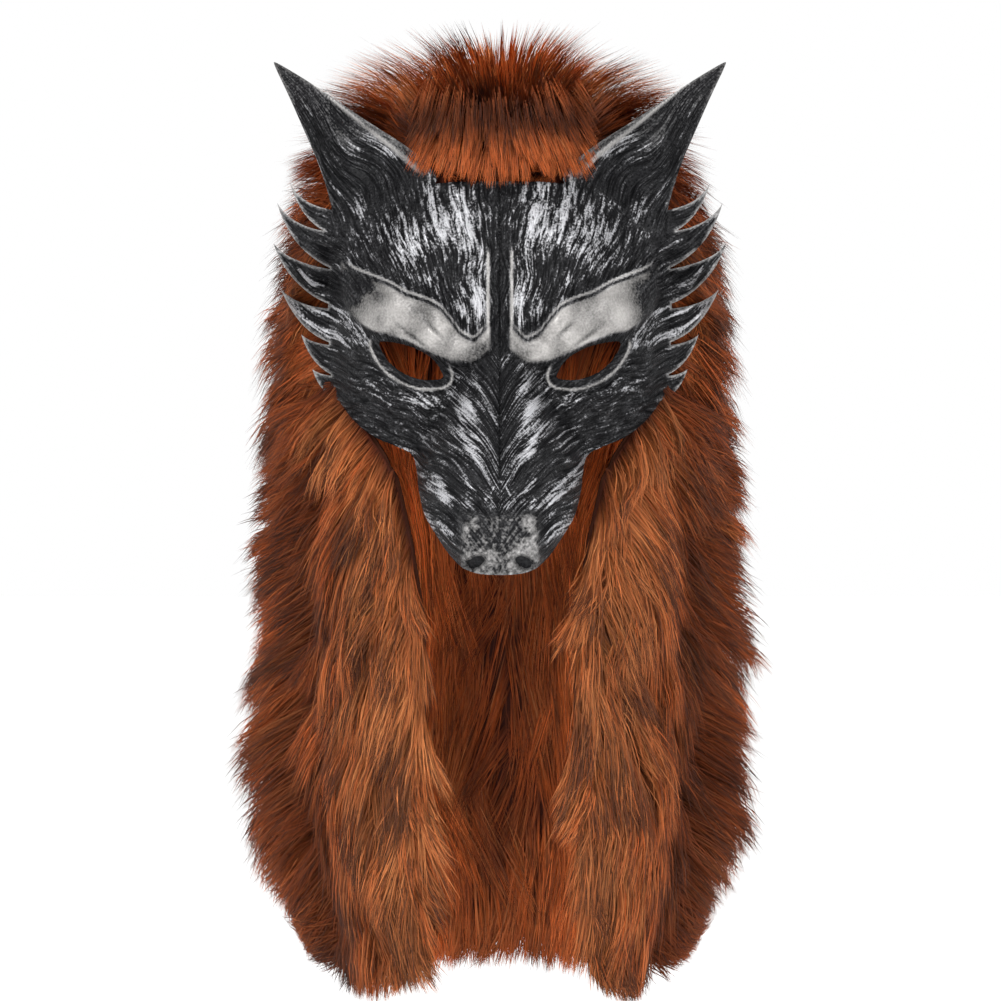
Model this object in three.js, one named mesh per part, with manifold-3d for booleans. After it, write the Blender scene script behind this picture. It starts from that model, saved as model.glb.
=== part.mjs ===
// A werewolf half mask on a long faux-fur hood.
// Millimetres, +Z up. The face looks along -Y, and the origin is the seat inside the crown of the hood,
// where the top of the wearer's head touches it.
// The mask is one hollow moulding: face, brows, snout, ears and side tufts. The hood is a knitted backing
// that hangs as a curtain, with deep pile on it in locks: crown, sides, two front panels, the back, and
// the pile inside the back that shows between the front panels and through the eye holes.

import * as THREE from "three";
import { mergeVertices } from "three/addons/utils/BufferGeometryUtils.js";
import Module from "manifold-3d";

const wasm = await Module();
wasm.setup();

// Hood backing
const HOOD_WALL = 2;
const HOOD_WIDTH = 210;
const HOOD_LENGTH = 414;
const HOOD_BACK = 100;
const HOOD_FRONT = 88;
const HOOD_SQUARENESS = 2.4;
const GAP_WIDTH = 76;
const FOLD_DEPTH = 7;

// Pile
const CROWN_PILE = 46;
const SIDE_PILE = 26;
const INNER_PILE = 17;
const LOCK_DROP = 9;
const HEM_POINT = 13;

// Mask moulding
const SHELL_WALL = 2.5;
const FACE_WIDTH = 182;
const FACE_TOP = 26;
const FACE_HEIGHT = 194;
const FACE_DEPTH = 106;
const FACE_EDGE_DEPTH = 20;
const SIDE_SLOPE = 0.6;
const SNOUT_WIDTH = 88;
const SNOUT_REACH = 180;
const SNOUT_BLEND = 10;
const BROW_HEIGHT = 6;
const BROW_EDGE = 5;
const BULGE_HEIGHT = 5;
const BULGE_SIZE = 21;
const CHANNEL_HALF = 6;
const CHANNEL_DEPTH = 3;
const NOSE_WIDTH = 42;
const NOSE_RISE = 4;
const NOSTRIL_SIZE = 7;
const NOSTRIL_DEPTH = 5;
const EYE_WIDTH = 33;
const EYE_HEIGHT = 20;
const EYE_INNER_X = 27.5;
const EYE_TOP = 105;
const EAR_ROOT_X = 58;
const EAR_ROOT_Z = -36;
const EAR_TIP_X = 113.5;
const EAR_TIP_Z = 36;
const EAR_ROOT_HALF = 32;
const EAR_ROOT_DEPTH = 86;
const EAR_TIP_DEPTH = 54;
const EAR_SCOOP = 17;
const TUFT_REACH = 28;
const TUFT_WIDTH = 19;

// Air between neighbouring pieces, and round the mask, and how far a flat facet may leave the form.
const CLEARANCE = 0.4;
const MASK_CLEARANCE = 0.7;
const FACET_TOLERANCE = 0.12;

// Sections of the hood from the crown to the hem. down is a share of HOOD_LENGTH, wide of half HOOD_WIDTH,
// back of HOOD_BACK and front of HOOD_FRONT.
const HOOD_SECTIONS = [
  { down: 0.0, wide: 0.0, back: 0.0, front: 0.0 },
  { down: 0.012, wide: 0.32, back: 0.4, front: 0.44 },
  { down: 0.032, wide: 0.51, back: 0.62, front: 0.69 },
  { down: 0.068, wide: 0.69, back: 0.81, front: 0.92 },
  { down: 0.12, wide: 0.81, back: 0.93, front: 1.01 },
  { down: 0.19, wide: 0.87, back: 0.99, front: 1.02 },
  { down: 0.29, wide: 0.9, back: 1.0, front: 0.98 },
  { down: 0.42, wide: 0.92, back: 0.92, front: 0.84 },
  { down: 0.58, wide: 0.96, back: 0.82, front: 0.76 },
  { down: 0.76, wide: 0.99, back: 0.76, front: 0.72 },
  { down: 0.89, wide: 0.94, back: 0.71, front: 0.66 },
  { down: 1.0, wide: 0.77, back: 0.66, front: 0.58 },
];

// Folds of the curtain: turn is the share of a half turn from the back, spread is its width in the same
// share, and rise is its height as a share of FOLD_DEPTH. Valleys have a negative rise.
const FOLDS = [
  { turn: 0.0, spread: 0.14, rise: 0.8 },
  { turn: 0.15, spread: 0.1, rise: -0.9 },
  { turn: 0.3, spread: 0.14, rise: 0.8 },
  { turn: 0.43, spread: 0.11, rise: -0.8 },
  { turn: 0.56, spread: 0.14, rise: 0.6 },
  { turn: 0.7, spread: 0.08, rise: -1.3 },
  { turn: 0.81, spread: 0.11, rise: 0.9 },
];

// Thickness of the outer pile, as shares of HOOD_LENGTH and of the pile's own size.
const PILE_SECTIONS = [
  { down: 0.0, crown: 1.0, side: 0.0 },
  { down: 0.04, crown: 0.94, side: 0.0 },
  { down: 0.1, crown: 0.4, side: 0.45 },
  { down: 0.2, crown: 0.0, side: 0.95 },
  { down: 0.8, crown: 0.0, side: 1.0 },
  { down: 1.0, crown: 0.0, side: 0.85 },
];

// Half width of the opening in the hood's front, as shares of HOOD_LENGTH and of half FACE_WIDTH.
const FACE_OPENING = [
  { down: 0.085, half: 0.3 },
  { down: 0.11, half: 0.72 },
  { down: 0.14, half: 0.86 },
  { down: 0.2, half: 0.9 },
  { down: 0.29, half: 0.89 },
  { down: 0.34, half: 0.78 },
  { down: 0.4, half: 0.6 },
];

// Half width of the gap between the front panels, as shares of HOOD_LENGTH and of half GAP_WIDTH.
const PANEL_GAP = [
  { down: 0.41, half: 1.36 },
  { down: 0.49, half: 1.16 },
  { down: 0.59, half: 0.98 },
  { down: 0.75, half: 0.98 },
  { down: 0.9, half: 1.05 },
  { down: 1.2, half: 1.3 },
];

// The hem from the middle outwards: across is a share of half HOOD_WIDTH, up a share of HOOD_LENGTH.
const HEM = [
  { across: 0.0, up: 0.0 },
  { across: 0.46, up: 0.0 },
  { across: 0.6, up: -0.014 },
  { across: 0.78, up: -0.004 },
  { across: 0.93, up: 0.03 },
  { across: 1.0, up: 0.07 },
  { across: 1.2, up: 0.12 },
];

// Outline and middle line of the face from the forehead's edge down to the end of the nose. down is a
// share of FACE_HEIGHT, wide the half width of the outline as a share of half FACE_WIDTH, and deep the
// depth of the face's middle as a share of FACE_DEPTH.
const FACE_SECTIONS = [
  { down: 0.0, wide: 0.33, deep: 0.84 },
  { down: 0.03, wide: 0.6, deep: 0.865 },
  { down: 0.08, wide: 0.92, deep: 0.9 },
  { down: 0.18, wide: 0.93, deep: 0.955 },
  { down: 0.34, wide: 0.956, deep: 0.99 },
  { down: 0.41, wide: 0.945, deep: 0.99 },
  { down: 0.505, wide: 0.934, deep: 0.965 },
  { down: 0.552, wide: 0.896, deep: 0.94 },
  { down: 0.608, wide: 0.813, deep: 0.91 },
  { down: 0.655, wide: 0.687, deep: 0.88 },
  { down: 0.676, wide: 0.57, deep: 0.86 },
  { down: 0.696, wide: 0.473, deep: 0.84 },
  { down: 0.747, wide: 0.445, deep: 0.8 },
  { down: 0.781, wide: 0.44, deep: 0.8 },
  { down: 0.851, wide: 0.407, deep: 0.8 },
  { down: 0.897, wide: 0.346, deep: 0.8 },
  { down: 0.948, wide: 0.275, deep: 0.8 },
  { down: 0.985, wide: 0.198, deep: 0.8 },
  { down: 1.0, wide: 0.1, deep: 0.8 },
];

// The snout: reach is its middle line's depth and edge its lip's depth, as shares of SNOUT_REACH, and wide
// its half width as a share of half SNOUT_WIDTH.
const SNOUT_SECTIONS = [
  { down: 0.36, wide: 0.26, reach: 0.575, edge: 0.53 },
  { down: 0.41, wide: 0.28, reach: 0.59, edge: 0.535 },
  { down: 0.46, wide: 0.31, reach: 0.605, edge: 0.53 },
  { down: 0.51, wide: 0.42, reach: 0.64, edge: 0.515 },
  { down: 0.588, wide: 0.62, reach: 0.715, edge: 0.5 },
  { down: 0.665, wide: 0.86, reach: 0.795, edge: 0.49 },
  { down: 0.742, wide: 1.0, reach: 0.87, edge: 0.505 },
  { down: 0.794, wide: 1.0, reach: 0.915, edge: 0.55 },
  { down: 0.835, wide: 0.97, reach: 0.945, edge: 0.595 },
  { down: 0.871, wide: 0.88, reach: 0.965, edge: 0.65 },
  { down: 0.923, wide: 0.74, reach: 0.975, edge: 0.75 },
  { down: 0.969, wide: 0.56, reach: 0.96, edge: 0.84 },
  { down: 1.0, wide: 0.36, reach: 0.92, edge: 0.87 },
];

// A brow's edges from its inner end to its flame tip: across is a share of half FACE_WIDTH, and top and
// bottom are shares of FACE_HEIGHT.
const BROW = [
  { across: 0.05, top: 0.36, bottom: 0.443 },
  { across: 0.14, top: 0.407, bottom: 0.477 },
  { across: 0.214, top: 0.389, bottom: 0.474 },
  { across: 0.264, top: 0.356, bottom: 0.472 },
  { across: 0.324, top: 0.322, bottom: 0.461 },
  { across: 0.396, top: 0.304, bottom: 0.446 },
  { across: 0.511, top: 0.286, bottom: 0.418 },
  { across: 0.6, top: 0.26, bottom: 0.403 },
  { across: 0.692, top: 0.242, bottom: 0.394 },
  { across: 0.769, top: 0.227, bottom: 0.371 },
  { across: 0.824, top: 0.214, bottom: 0.345 },
  { across: 0.874, top: 0.186, bottom: 0.3 },
];

// The eye hole, from its upper outer corner: across and down are shares of EYE_WIDTH and EYE_HEIGHT.
const EYE = [
  { across: 1.0, down: 0.0 },
  { across: 0.74, down: 0.05 },
  { across: 0.45, down: 0.18 },
  { across: 0.15, down: 0.47 },
  { across: 0.0, down: 0.9 },
  { across: 0.06, down: 0.98 },
  { across: 0.32, down: 1.0 },
  { across: 0.6, down: 0.85 },
  { across: 0.82, down: 0.57 },
  { across: 0.95, down: 0.25 },
];

// The ear's outline: along is a share of the way from its root to its tip, and inner and outer are its
// edges as shares of EAR_ROOT_HALF to the two sides of that line.
const EAR_SECTIONS = [
  { along: -0.12, inner: 0.86, outer: 0.86 },
  { along: 0.0, inner: 0.95, outer: 0.9 },
  { along: 0.2, inner: 0.8, outer: 0.62 },
  { along: 0.4, inner: 0.6, outer: 0.42 },
  { along: 0.6, inner: 0.42, outer: 0.28 },
  { along: 0.8, inner: 0.24, outer: 0.14 },
  { along: 1.0, inner: 0.02, outer: 0.02 },
];

// Tufts down each side of the mask, from the top one to the last: root and tip are heights as shares of
// FACE_HEIGHT, and reach and width shares of TUFT_REACH and TUFT_WIDTH.
const TUFTS = [
  { root: 0.11, tip: 0.0, reach: 0.72, width: 0.75 },
  { root: 0.18, tip: 0.05, reach: 0.95, width: 1.0 },
  { root: 0.27, tip: 0.157, reach: 1.0, width: 1.0 },
  { root: 0.37, tip: 0.273, reach: 0.88, width: 1.0 },
  { root: 0.46, tip: 0.384, reach: 0.56, width: 0.9 },
  { root: 0.53, tip: 0.474, reach: 0.36, width: 0.7 },
];

// Patches of outer pile round the hood. from and to are columns of the hood from its back, top and bottom
// shares of HOOD_LENGTH, and layers is how many layers of locks overlap on the way down.
const PATCHES = {
  back_fur: { from: -6, to: 6, top: 0.1, bottom: 1.08, layers: 5 },
  left_side_fur: { from: -14, to: -6, top: 0.1, bottom: 1.08, layers: 5 },
  right_side_fur: { from: 6, to: 14, top: 0.1, bottom: 1.08, layers: 5 },
};
const PANEL = { from: 14, to: 20, top: 0.1, bottom: 1.08, layers: 5 };
const INNER_PATCH = { from: -10, to: 10, top: 0.22, bottom: 1.08, layers: 4 };

// A lock's four steps down its length: size is its thickness as a share of the pile, drop how far it hangs
// over the next layer as a share of LOCK_DROP. The valleys between the locks are level.
const LOCK = [
  { size: 0.74, drop: 0 },
  { size: 0.9, drop: 0 },
  { size: 1.06, drop: 0.5 },
  { size: 0.7, drop: -0.5 },
];
const VALLEY = 0.58;

const HOOD_COLUMNS = 40;
const MASK_STEP = 6;
const MASK_MIDDLE_STEP = 5;

const halfFace = FACE_WIDTH / 2;
const halfHood = HOOD_WIDTH / 2;
const halfSnout = SNOUT_WIDTH / 2;
const { clamp, lerp, smoothstep } = THREE.MathUtils;

/** Reads a column of a table at a place along another of its columns, in straight steps. */
function read(table, along, at, column) {
  const last = table.length - 1;
  if (at <= table[0][along]) return table[0][column];
  for (let i = 0; i < last; i++) {
    const low = table[i];
    const high = table[i + 1];
    if (at <= high[along]) {
      return lerp(low[column], high[column], (at - low[along]) / (high[along] - low[along]));
    }
  }
  return table[last][column];
}

/** A closed solid from points and triangles of their numbers, turned so that its faces point out. */
function solidOf(points, triangles) {
  const geometry = new THREE.BufferGeometry();
  const places = points.flatMap((p) => p.toArray());
  geometry.setAttribute("position", new THREE.Float32BufferAttribute(places, 3));
  geometry.setIndex(triangles);
  return solidOfGeometry(geometry);
}

/** A closed solid from a closed geometry. */
function solidOfGeometry(geometry) {
  const bare = geometry.clone();
  bare.deleteAttribute("normal");
  bare.deleteAttribute("uv");
  const merged = mergeVertices(bare, 1e-4);
  const vertProperties = new Float32Array(merged.attributes.position.array);
  const triVerts = new Uint32Array(merged.index.array);
  const made = new wasm.Manifold(new wasm.Mesh({ numProp: 3, vertProperties, triVerts }));
  if (made.volume() > 0) return made;
  triVerts.reverse();
  return new wasm.Manifold(new wasm.Mesh({ numProp: 3, vertProperties, triVerts }));
}

/** The solid between two grids of points of the same size, closed round their rim. */
function slab(front, back) {
  const rows = front.length;
  const columns = front[0].length;
  const at = (side, i, j) => side * rows * columns + i * columns + j;
  const triangles = [];
  const quad = (a, b, c, d) => triangles.push(a, b, c, a, c, d);
  for (let i = 0; i + 1 < rows; i++) {
    for (let j = 0; j + 1 < columns; j++) {
      quad(at(0, i, j), at(0, i + 1, j), at(0, i + 1, j + 1), at(0, i, j + 1));
      quad(at(1, i, j), at(1, i, j + 1), at(1, i + 1, j + 1), at(1, i + 1, j));
    }
    quad(at(0, i, 0), at(1, i, 0), at(1, i + 1, 0), at(0, i + 1, 0));
    quad(at(0, i, columns - 1), at(0, i + 1, columns - 1), at(1, i + 1, columns - 1), at(1, i, columns - 1));
  }
  for (let j = 0; j + 1 < columns; j++) {
    quad(at(0, 0, j), at(0, 0, j + 1), at(1, 0, j + 1), at(1, 0, j));
    quad(at(0, rows - 1, j), at(1, rows - 1, j), at(1, rows - 1, j + 1), at(0, rows - 1, j + 1));
  }
  return solidOf([...front.flat(), ...back.flat()], triangles);
}

/** The solid inside a stack of closed rings, with a point at each end. */
function loft(rings, first, last) {
  const sides = rings[0].length;
  const points = [...rings.flat(), first, last];
  const end = (rings.length - 1) * sides;
  const triangles = [];
  for (let j = 0; j < sides; j++) {
    const next = (j + 1) % sides;
    triangles.push(points.length - 2, next, j, points.length - 1, end + j, end + next);
    for (let i = 0; i + 1 < rings.length; i++) {
      const a = i * sides;
      const b = a + sides;
      triangles.push(a + j, a + next, b + next, a + j, b + next, b + j);
    }
  }
  return solidOf(points, triangles);
}

/** A straight prism along Y of an outline of [x, z] points, from one depth to another. */
function prism(outline, from, to) {
  const shape = new THREE.Shape(outline.map(([x, z]) => new THREE.Vector2(x, z)));
  const made = new THREE.ExtrudeGeometry(shape, { depth: to - from, bevelEnabled: false });
  made.rotateX(Math.PI / 2);
  made.translate(0, to, 0);
  return solidOfGeometry(made);
}

/** All the solids joined. */
function joined(solids) {
  return solids.reduce((whole, next) => whole.add(next));
}

/** The largest of a solid's separate bodies. */
function largest(solid) {
  return solid.decompose().reduce((best, body) => (body.volume() > best.volume() ? body : best));
}

/** A smooth hump: 1 at 0, and 0 from 1 on. */
function hump(r) {
  return Math.max(0, 1 - r * r) ** 2;
}

/** The height of a share of the face. */
function faceZ(down) {
  return -(FACE_TOP + down * FACE_HEIGHT);
}

/** The larger of two depths, with a rounded change from one to the other. */
function roundedMax(a, b) {
  const near = Math.max(0, SNOUT_BLEND - Math.abs(a - b));
  return Math.max(a, b) + (near * near) / (4 * SNOUT_BLEND);
}

/** The depth of the face round the head, without its features. */
function headDepth(across, down) {
  const inside = Math.min(across, 0.94);
  const middle = read(FACE_SECTIONS, "down", down, "deep") * FACE_DEPTH;
  const round = Math.sqrt(1 - inside ** 2.4);
  return FACE_EDGE_DEPTH + (middle - FACE_EDGE_DEPTH) * round - SIDE_SLOPE * (across - inside) * halfFace;
}

/** The depth of the snout. */
function snoutDepth(across, down) {
  const half = read(SNOUT_SECTIONS, "down", down, "wide") * halfSnout;
  const reach = read(SNOUT_SECTIONS, "down", down, "reach") * SNOUT_REACH;
  const edge = read(SNOUT_SECTIONS, "down", down, "edge") * SNOUT_REACH;
  const side = (across * halfFace) / half;
  if (side >= 1) return edge - (side - 1) * half * 3;
  return edge + (reach - edge) * Math.sqrt(1 - side ** 2.6);
}

/** How far the nose stands out of the snout, less its nostrils. */
function noseRise(x, down) {
  const side = 1 - smoothstep(x, NOSE_WIDTH * 0.4, NOSE_WIDTH * 0.55);
  const pad = NOSE_RISE * smoothstep(down, 0.83, 0.87) * side;
  const nostril = Math.hypot((x - NOSE_WIDTH / 4) / NOSTRIL_SIZE, (faceZ(down) - faceZ(0.968)) / NOSTRIL_SIZE);
  return pad - NOSTRIL_DEPTH * hump(nostril);
}

/** How far the brow stands out. */
function browRise(across, down) {
  if (across < BROW[0].across || across > BROW[BROW.length - 1].across) return 0;
  const top = read(BROW, "across", across, "top");
  const bottom = read(BROW, "across", across, "bottom");
  const inside = Math.min(down - top, bottom - down) * FACE_HEIGHT;
  return BROW_HEIGHT * smoothstep(inside, -BROW_EDGE / 2, BROW_EDGE);
}

/** A place on the ear: its share of the way to the tip, and its distance from that line. */
function earPlace(x, z) {
  const axis = new THREE.Vector2(EAR_TIP_X - EAR_ROOT_X, EAR_TIP_Z - EAR_ROOT_Z);
  const place = new THREE.Vector2(x - EAR_ROOT_X, z - EAR_ROOT_Z);
  return { along: place.dot(axis) / axis.lengthSq(), off: place.cross(axis) / axis.length() };
}

/** The depth of the ear: a leaf, hollow towards the front. */
function earDepth({ along, off }) {
  const inner = read(EAR_SECTIONS, "along", along, "inner");
  const outer = read(EAR_SECTIONS, "along", along, "outer");
  const share = clamp(off / (EAR_ROOT_HALF * (off > 0 ? outer : inner) + 4), -1, 1);
  const hollow = EAR_SCOOP * (1 - share * share) * hump((along - 0.26) / 0.75);
  return lerp(EAR_ROOT_DEPTH, EAR_TIP_DEPTH, clamp(along, 0, 1) ** 0.8) - hollow;
}

/** How far in front of the head's middle the mask's face is, at a place seen from the front. */
function maskDepth(x, z) {
  const away = Math.abs(x);
  const across = away / halfFace;
  const down = (-z - FACE_TOP) / FACE_HEIGHT;
  let face = headDepth(across, down) + browRise(across, down);
  face += BULGE_HEIGHT * hump(Math.hypot(away - halfFace * 0.45, faceZ(0.14) - z) / BULGE_SIZE);
  const channel = smoothstep(down, 0.12, 0.25) * (1 - smoothstep(down, 0.4, 0.45));
  face -= CHANNEL_DEPTH * channel * hump(away / CHANNEL_HALF);
  const place = earPlace(away, z);
  const onEar = smoothstep(place.along, -0.22, 0.08) * smoothstep(away, 22, 34);
  face = lerp(face, earDepth(place), onEar);
  if (down < SNOUT_SECTIONS[0].down) return face;
  return roundedMax(face, snoutDepth(across, down)) + noseRise(away, down);
}

/** The mask's outline seen from the front, as a prism, without the eye holes. */
function maskPrism() {
  const edge = FACE_SECTIONS.map(({ down, wide }) => [wide * halfFace, faceZ(down)]);
  const outline = [...edge, ...edge.map(([x, z]) => [-x, z]).reverse()];
  const parts = [outline, ...[-1, 1].flatMap((side) => [earOutline(side), ...tuftOutlines(side)])];
  return joined(parts.map((part) => prism(part, -SNOUT_REACH * 1.2, FACE_DEPTH)));
}

/** An ear seen from the front. */
function earOutline(side) {
  const axis = new THREE.Vector2(EAR_TIP_X - EAR_ROOT_X, EAR_TIP_Z - EAR_ROOT_Z);
  const across = new THREE.Vector2(axis.y, -axis.x).normalize();
  const edge = (column, sign) =>
    EAR_SECTIONS.map((section) => {
      const off = sign * section[column] * EAR_ROOT_HALF;
      const x = EAR_ROOT_X + axis.x * section.along + across.x * off;
      return [side * x, EAR_ROOT_Z + axis.y * section.along + across.y * off];
    });
  return [...edge("outer", 1), ...edge("inner", -1).reverse()];
}

/** The tufts of one side seen from the front: bent flames that point out and up. */
function tuftOutlines(side) {
  return TUFTS.map(({ root, tip, reach, width }) => {
    const rootX = halfFace * 0.84;
    const wide = (TUFT_WIDTH * width) / 2;
    const tipX = halfFace * 0.93 + TUFT_REACH * reach;
    const bend = (z, lift) => new THREE.Vector2(lerp(rootX, tipX, 0.75), lerp(z, faceZ(tip), lift));
    const end = new THREE.Vector2(tipX, faceZ(tip));
    const top = new THREE.Vector2(rootX, faceZ(root) + wide);
    const bottom = new THREE.Vector2(rootX, faceZ(root) - wide);
    const upper = new THREE.QuadraticBezierCurve(top, bend(top.y, 0.05), end).getPoints(4);
    const lower = new THREE.QuadraticBezierCurve(end, bend(bottom.y, 0.15), bottom).getPoints(4);
    return [...upper, ...lower.slice(1)].map((p) => [side * p.x, p.y]);
  });
}

/** One of the eye holes, as the solid that cuts it. */
function eyeHole(side) {
  const outline = EYE.map(({ across, down }) => [
    side * (EYE_INNER_X + across * EYE_WIDTH),
    -(EYE_TOP + down * EYE_HEIGHT),
  ]);
  return prism(outline, -SNOUT_REACH * 1.3, FACE_DEPTH * 1.1);
}

/** The mask's face as a grid of points, moved back by an allowance and by the wall. */
function maskGrid(wall) {
  const across = [0];
  const limit = EAR_TIP_X + MASK_STEP;
  while (across[across.length - 1] < limit) {
    const last = across[across.length - 1];
    across.push(last + (last < SNOUT_WIDTH / 2 ? MASK_MIDDLE_STEP : MASK_STEP * 1.3));
  }
  const lines = [...across.slice(1).map((x) => -x).reverse(), ...across];
  const rows = [];
  const bottom = faceZ(1) - MASK_STEP;
  for (let z = EAR_TIP_Z + MASK_STEP; z > bottom; z -= MASK_STEP) {
    rows.push(lines.map((x) => new THREE.Vector3(x, wallDepth(x, z, wall) - maskDepth(x, z), z)));
  }
  return rows;
}

/** How far back the wall's other face is, measured along Y, at the slope of the mask at a place. */
function wallDepth(x, z, wall) {
  const slopeX = (maskDepth(x + 1, z) - maskDepth(x - 1, z)) / 2;
  const slopeZ = (maskDepth(x, z + 1) - maskDepth(x, z - 1)) / 2;
  return wall * Math.min(3.2, Math.hypot(1, slopeX, slopeZ));
}

/** The whole mask. */
function maskSolid() {
  const shell = slab(maskGrid(0), maskGrid(SHELL_WALL)).intersect(maskPrism());
  return largest(shell.subtract(eyeHole(-1)).subtract(eyeHole(1)));
}

/** The space of the mask and all in front of it, with air round it. */
function maskSpace() {
  const back = maskGrid(SHELL_WALL + MASK_CLEARANCE);
  const front = back.map((row) => row.map((p) => new THREE.Vector3(p.x, -SNOUT_REACH * 1.1, p.z)));
  const outline = maskPrism();
  const shifts = [[0, 0], [1, 0], [-1, 0], [0, 1], [0, -1]];
  const wide = joined(shifts.map(([x, z]) => outline.translate([x * MASK_CLEARANCE, 0, z * MASK_CLEARANCE])));
  return slab(front, back).intersect(wide);
}

/** How far the curtain's folds lift its surface at a share of a half turn from the back. */
function foldRise(turn, down) {
  const rise = FOLDS.reduce((sum, fold) => sum + fold.rise * hump((turn - fold.turn) / fold.spread), 0);
  return FOLD_DEPTH * smoothstep(down, 0.3, 0.55) * rise;
}

/** A point of the backing's outer face. column counts from the back, half of HOOD_COLUMNS is the front. */
function hoodPoint(column, down) {
  return hoodPlace(column, down, foldRise(Math.abs(column) / (HOOD_COLUMNS / 2), down));
}

/** A place on the hood's plain form, moved out by a lift. */
function hoodPlace(column, down, lift) {
  const angle = (column / HOOD_COLUMNS) * 2 * Math.PI;
  const wide = read(HOOD_SECTIONS, "down", down, "wide") * halfHood + lift;
  const back = read(HOOD_SECTIONS, "down", down, "back") * HOOD_BACK + lift;
  const front = read(HOOD_SECTIONS, "down", down, "front") * HOOD_FRONT + lift;
  const squared = (value) => Math.sign(value) * Math.abs(value) ** (2 / HOOD_SQUARENESS);
  const cosine = Math.cos(angle);
  const x = wide * squared(Math.sin(angle));
  return new THREE.Vector3(x, (cosine > 0 ? back : front) * squared(cosine), -down * HOOD_LENGTH);
}

/** The direction straight out of the hood's plain form. */
function hoodOut(column, down) {
  const safe = clamp(down, 0.012, 0.95);
  const around = hoodPlace(column + 0.4, safe, 0).sub(hoodPlace(column - 0.4, safe, 0));
  const along = hoodPlace(column, safe + 0.01, 0).sub(hoodPlace(column, safe - 0.01, 0));
  const out = around.cross(along).normalize();
  const away = hoodPlace(column, safe, 0).setZ(20);
  return out.dot(away) < 0 ? out.negate() : out;
}

/** Thickness of the outer pile at a height. */
function pileThickness(down) {
  const crown = read(PILE_SECTIONS, "down", down, "crown") * CROWN_PILE;
  return crown + read(PILE_SECTIONS, "down", down, "side") * SIDE_PILE;
}

/** The solid inside the hood's outer face moved out by a distance, down past the hem. */
function hoodCore(grow) {
  const levels = [...HOOD_SECTIONS.slice(1).map(({ down }) => down), 1.25];
  const ringAt = (down) =>
    Array.from({ length: HOOD_COLUMNS }, (_, j) => {
      const column = j < HOOD_COLUMNS / 2 ? j : j - HOOD_COLUMNS;
      return hoodPoint(column, down).addScaledVector(hoodOut(column, down), grow);
    });
  const bottom = new THREE.Vector3(0, 0, -HOOD_LENGTH * 1.3);
  return loft(levels.map(ringAt), new THREE.Vector3(0, 0, grow), bottom);
}

/** The solid that opens the hood's front: the face's opening and the gap between the front panels. */
function frontOpening() {
  const face = FACE_OPENING.map(({ down, half }) => [half * halfFace, -down * HOOD_LENGTH]);
  const gap = PANEL_GAP.map(({ down, half }) => [(half * GAP_WIDTH) / 2, -down * HOOD_LENGTH]);
  const right = [...face, ...gap];
  return prism([...right, ...right.map(([x, z]) => [-x, z]).reverse()], -HOOD_FRONT * 3, 0);
}

/** The solid below the hem. point is how far locks hang past it in a row of points. */
function belowHem(point) {
  const step = point > 0 ? halfHood / 9 : halfHood / 6;
  const right = [];
  for (let i = 0; i * step < halfHood * 1.45; i++) {
    const up = read(HEM, "across", (i * step) / halfHood, "up");
    right.push([i * step, (up - 1) * HOOD_LENGTH - (i % 2 ? point : point * 0.2)]);
  }
  const left = right.slice(1).map(([x, z]) => [-x, z]).reverse();
  const edge = right[right.length - 1][0];
  const floor = -HOOD_LENGTH * 1.5;
  return prism([...left, ...right, [edge, floor], [-edge, floor]], -HOOD_BACK * 3, HOOD_BACK * 3);
}

/** The knitted backing: cap and curtain in one wall, open at the face, the front gap and the hem. */
function backingSolid(space) {
  const wall = hoodCore(0).subtract(hoodCore(-HOOD_WALL)).subtract(frontOpening());
  return largest(wall.subtract(belowHem(0)).subtract(space));
}

/** A grid of points over a patch of pile: ridges of locks in layers, with valleys between them. */
function pileGrid(patch, surface) {
  const levels = patch.layers * LOCK.length;
  const rows = [];
  for (let i = 0; i <= levels; i++) {
    const row = [];
    for (let column = patch.from; column <= patch.to; column++) {
      const down = lerp(patch.top, patch.bottom, i / levels);
      const ridge = (column - patch.from) % 2 !== 0;
      const lock = LOCK[(i + (((column - patch.from) >> 1) % 2) * 2) % LOCK.length];
      const edge = column === patch.from ? 1 : column === patch.to ? -1 : 0;
      row.push(surface(column + edge * 0.012, down, ridge ? lock.size : VALLEY, ridge ? lock.drop : 0));
    }
    rows.push(row);
  }
  return rows;
}

/** A place in the pile: outside the backing at a share of the pile's thickness there. */
function pilePoint(column, down, size, drop) {
  const out = hoodOut(column, down);
  const p = hoodPoint(column, down).addScaledVector(out, pileThickness(down) * size);
  return p.setZ(p.z - drop * LOCK_DROP);
}

/** A patch of outer pile, clear of the backing and the mask. */
function patchSolid(patch, space) {
  const outer = pileGrid(patch, pilePoint);
  const inner = pileGrid(patch, (column, down) => hoodPoint(column, down).addScaledVector(hoodOut(column, down), -3));
  const whole = slab(outer, inner).subtract(hoodCore(CLEARANCE)).subtract(belowHem(HEM_POINT));
  return largest(whole.subtract(space));
}

/** A front panel's pile: the front patch with the gap's edge cut along it. */
function panelSolid(side, space) {
  const { from, to, ...rest } = PANEL;
  const patch = side < 0 ? { from: -to, to: -from, ...rest } : { from, to, ...rest };
  return largest(patchSolid(patch, space).subtract(frontOpening()));
}

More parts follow.
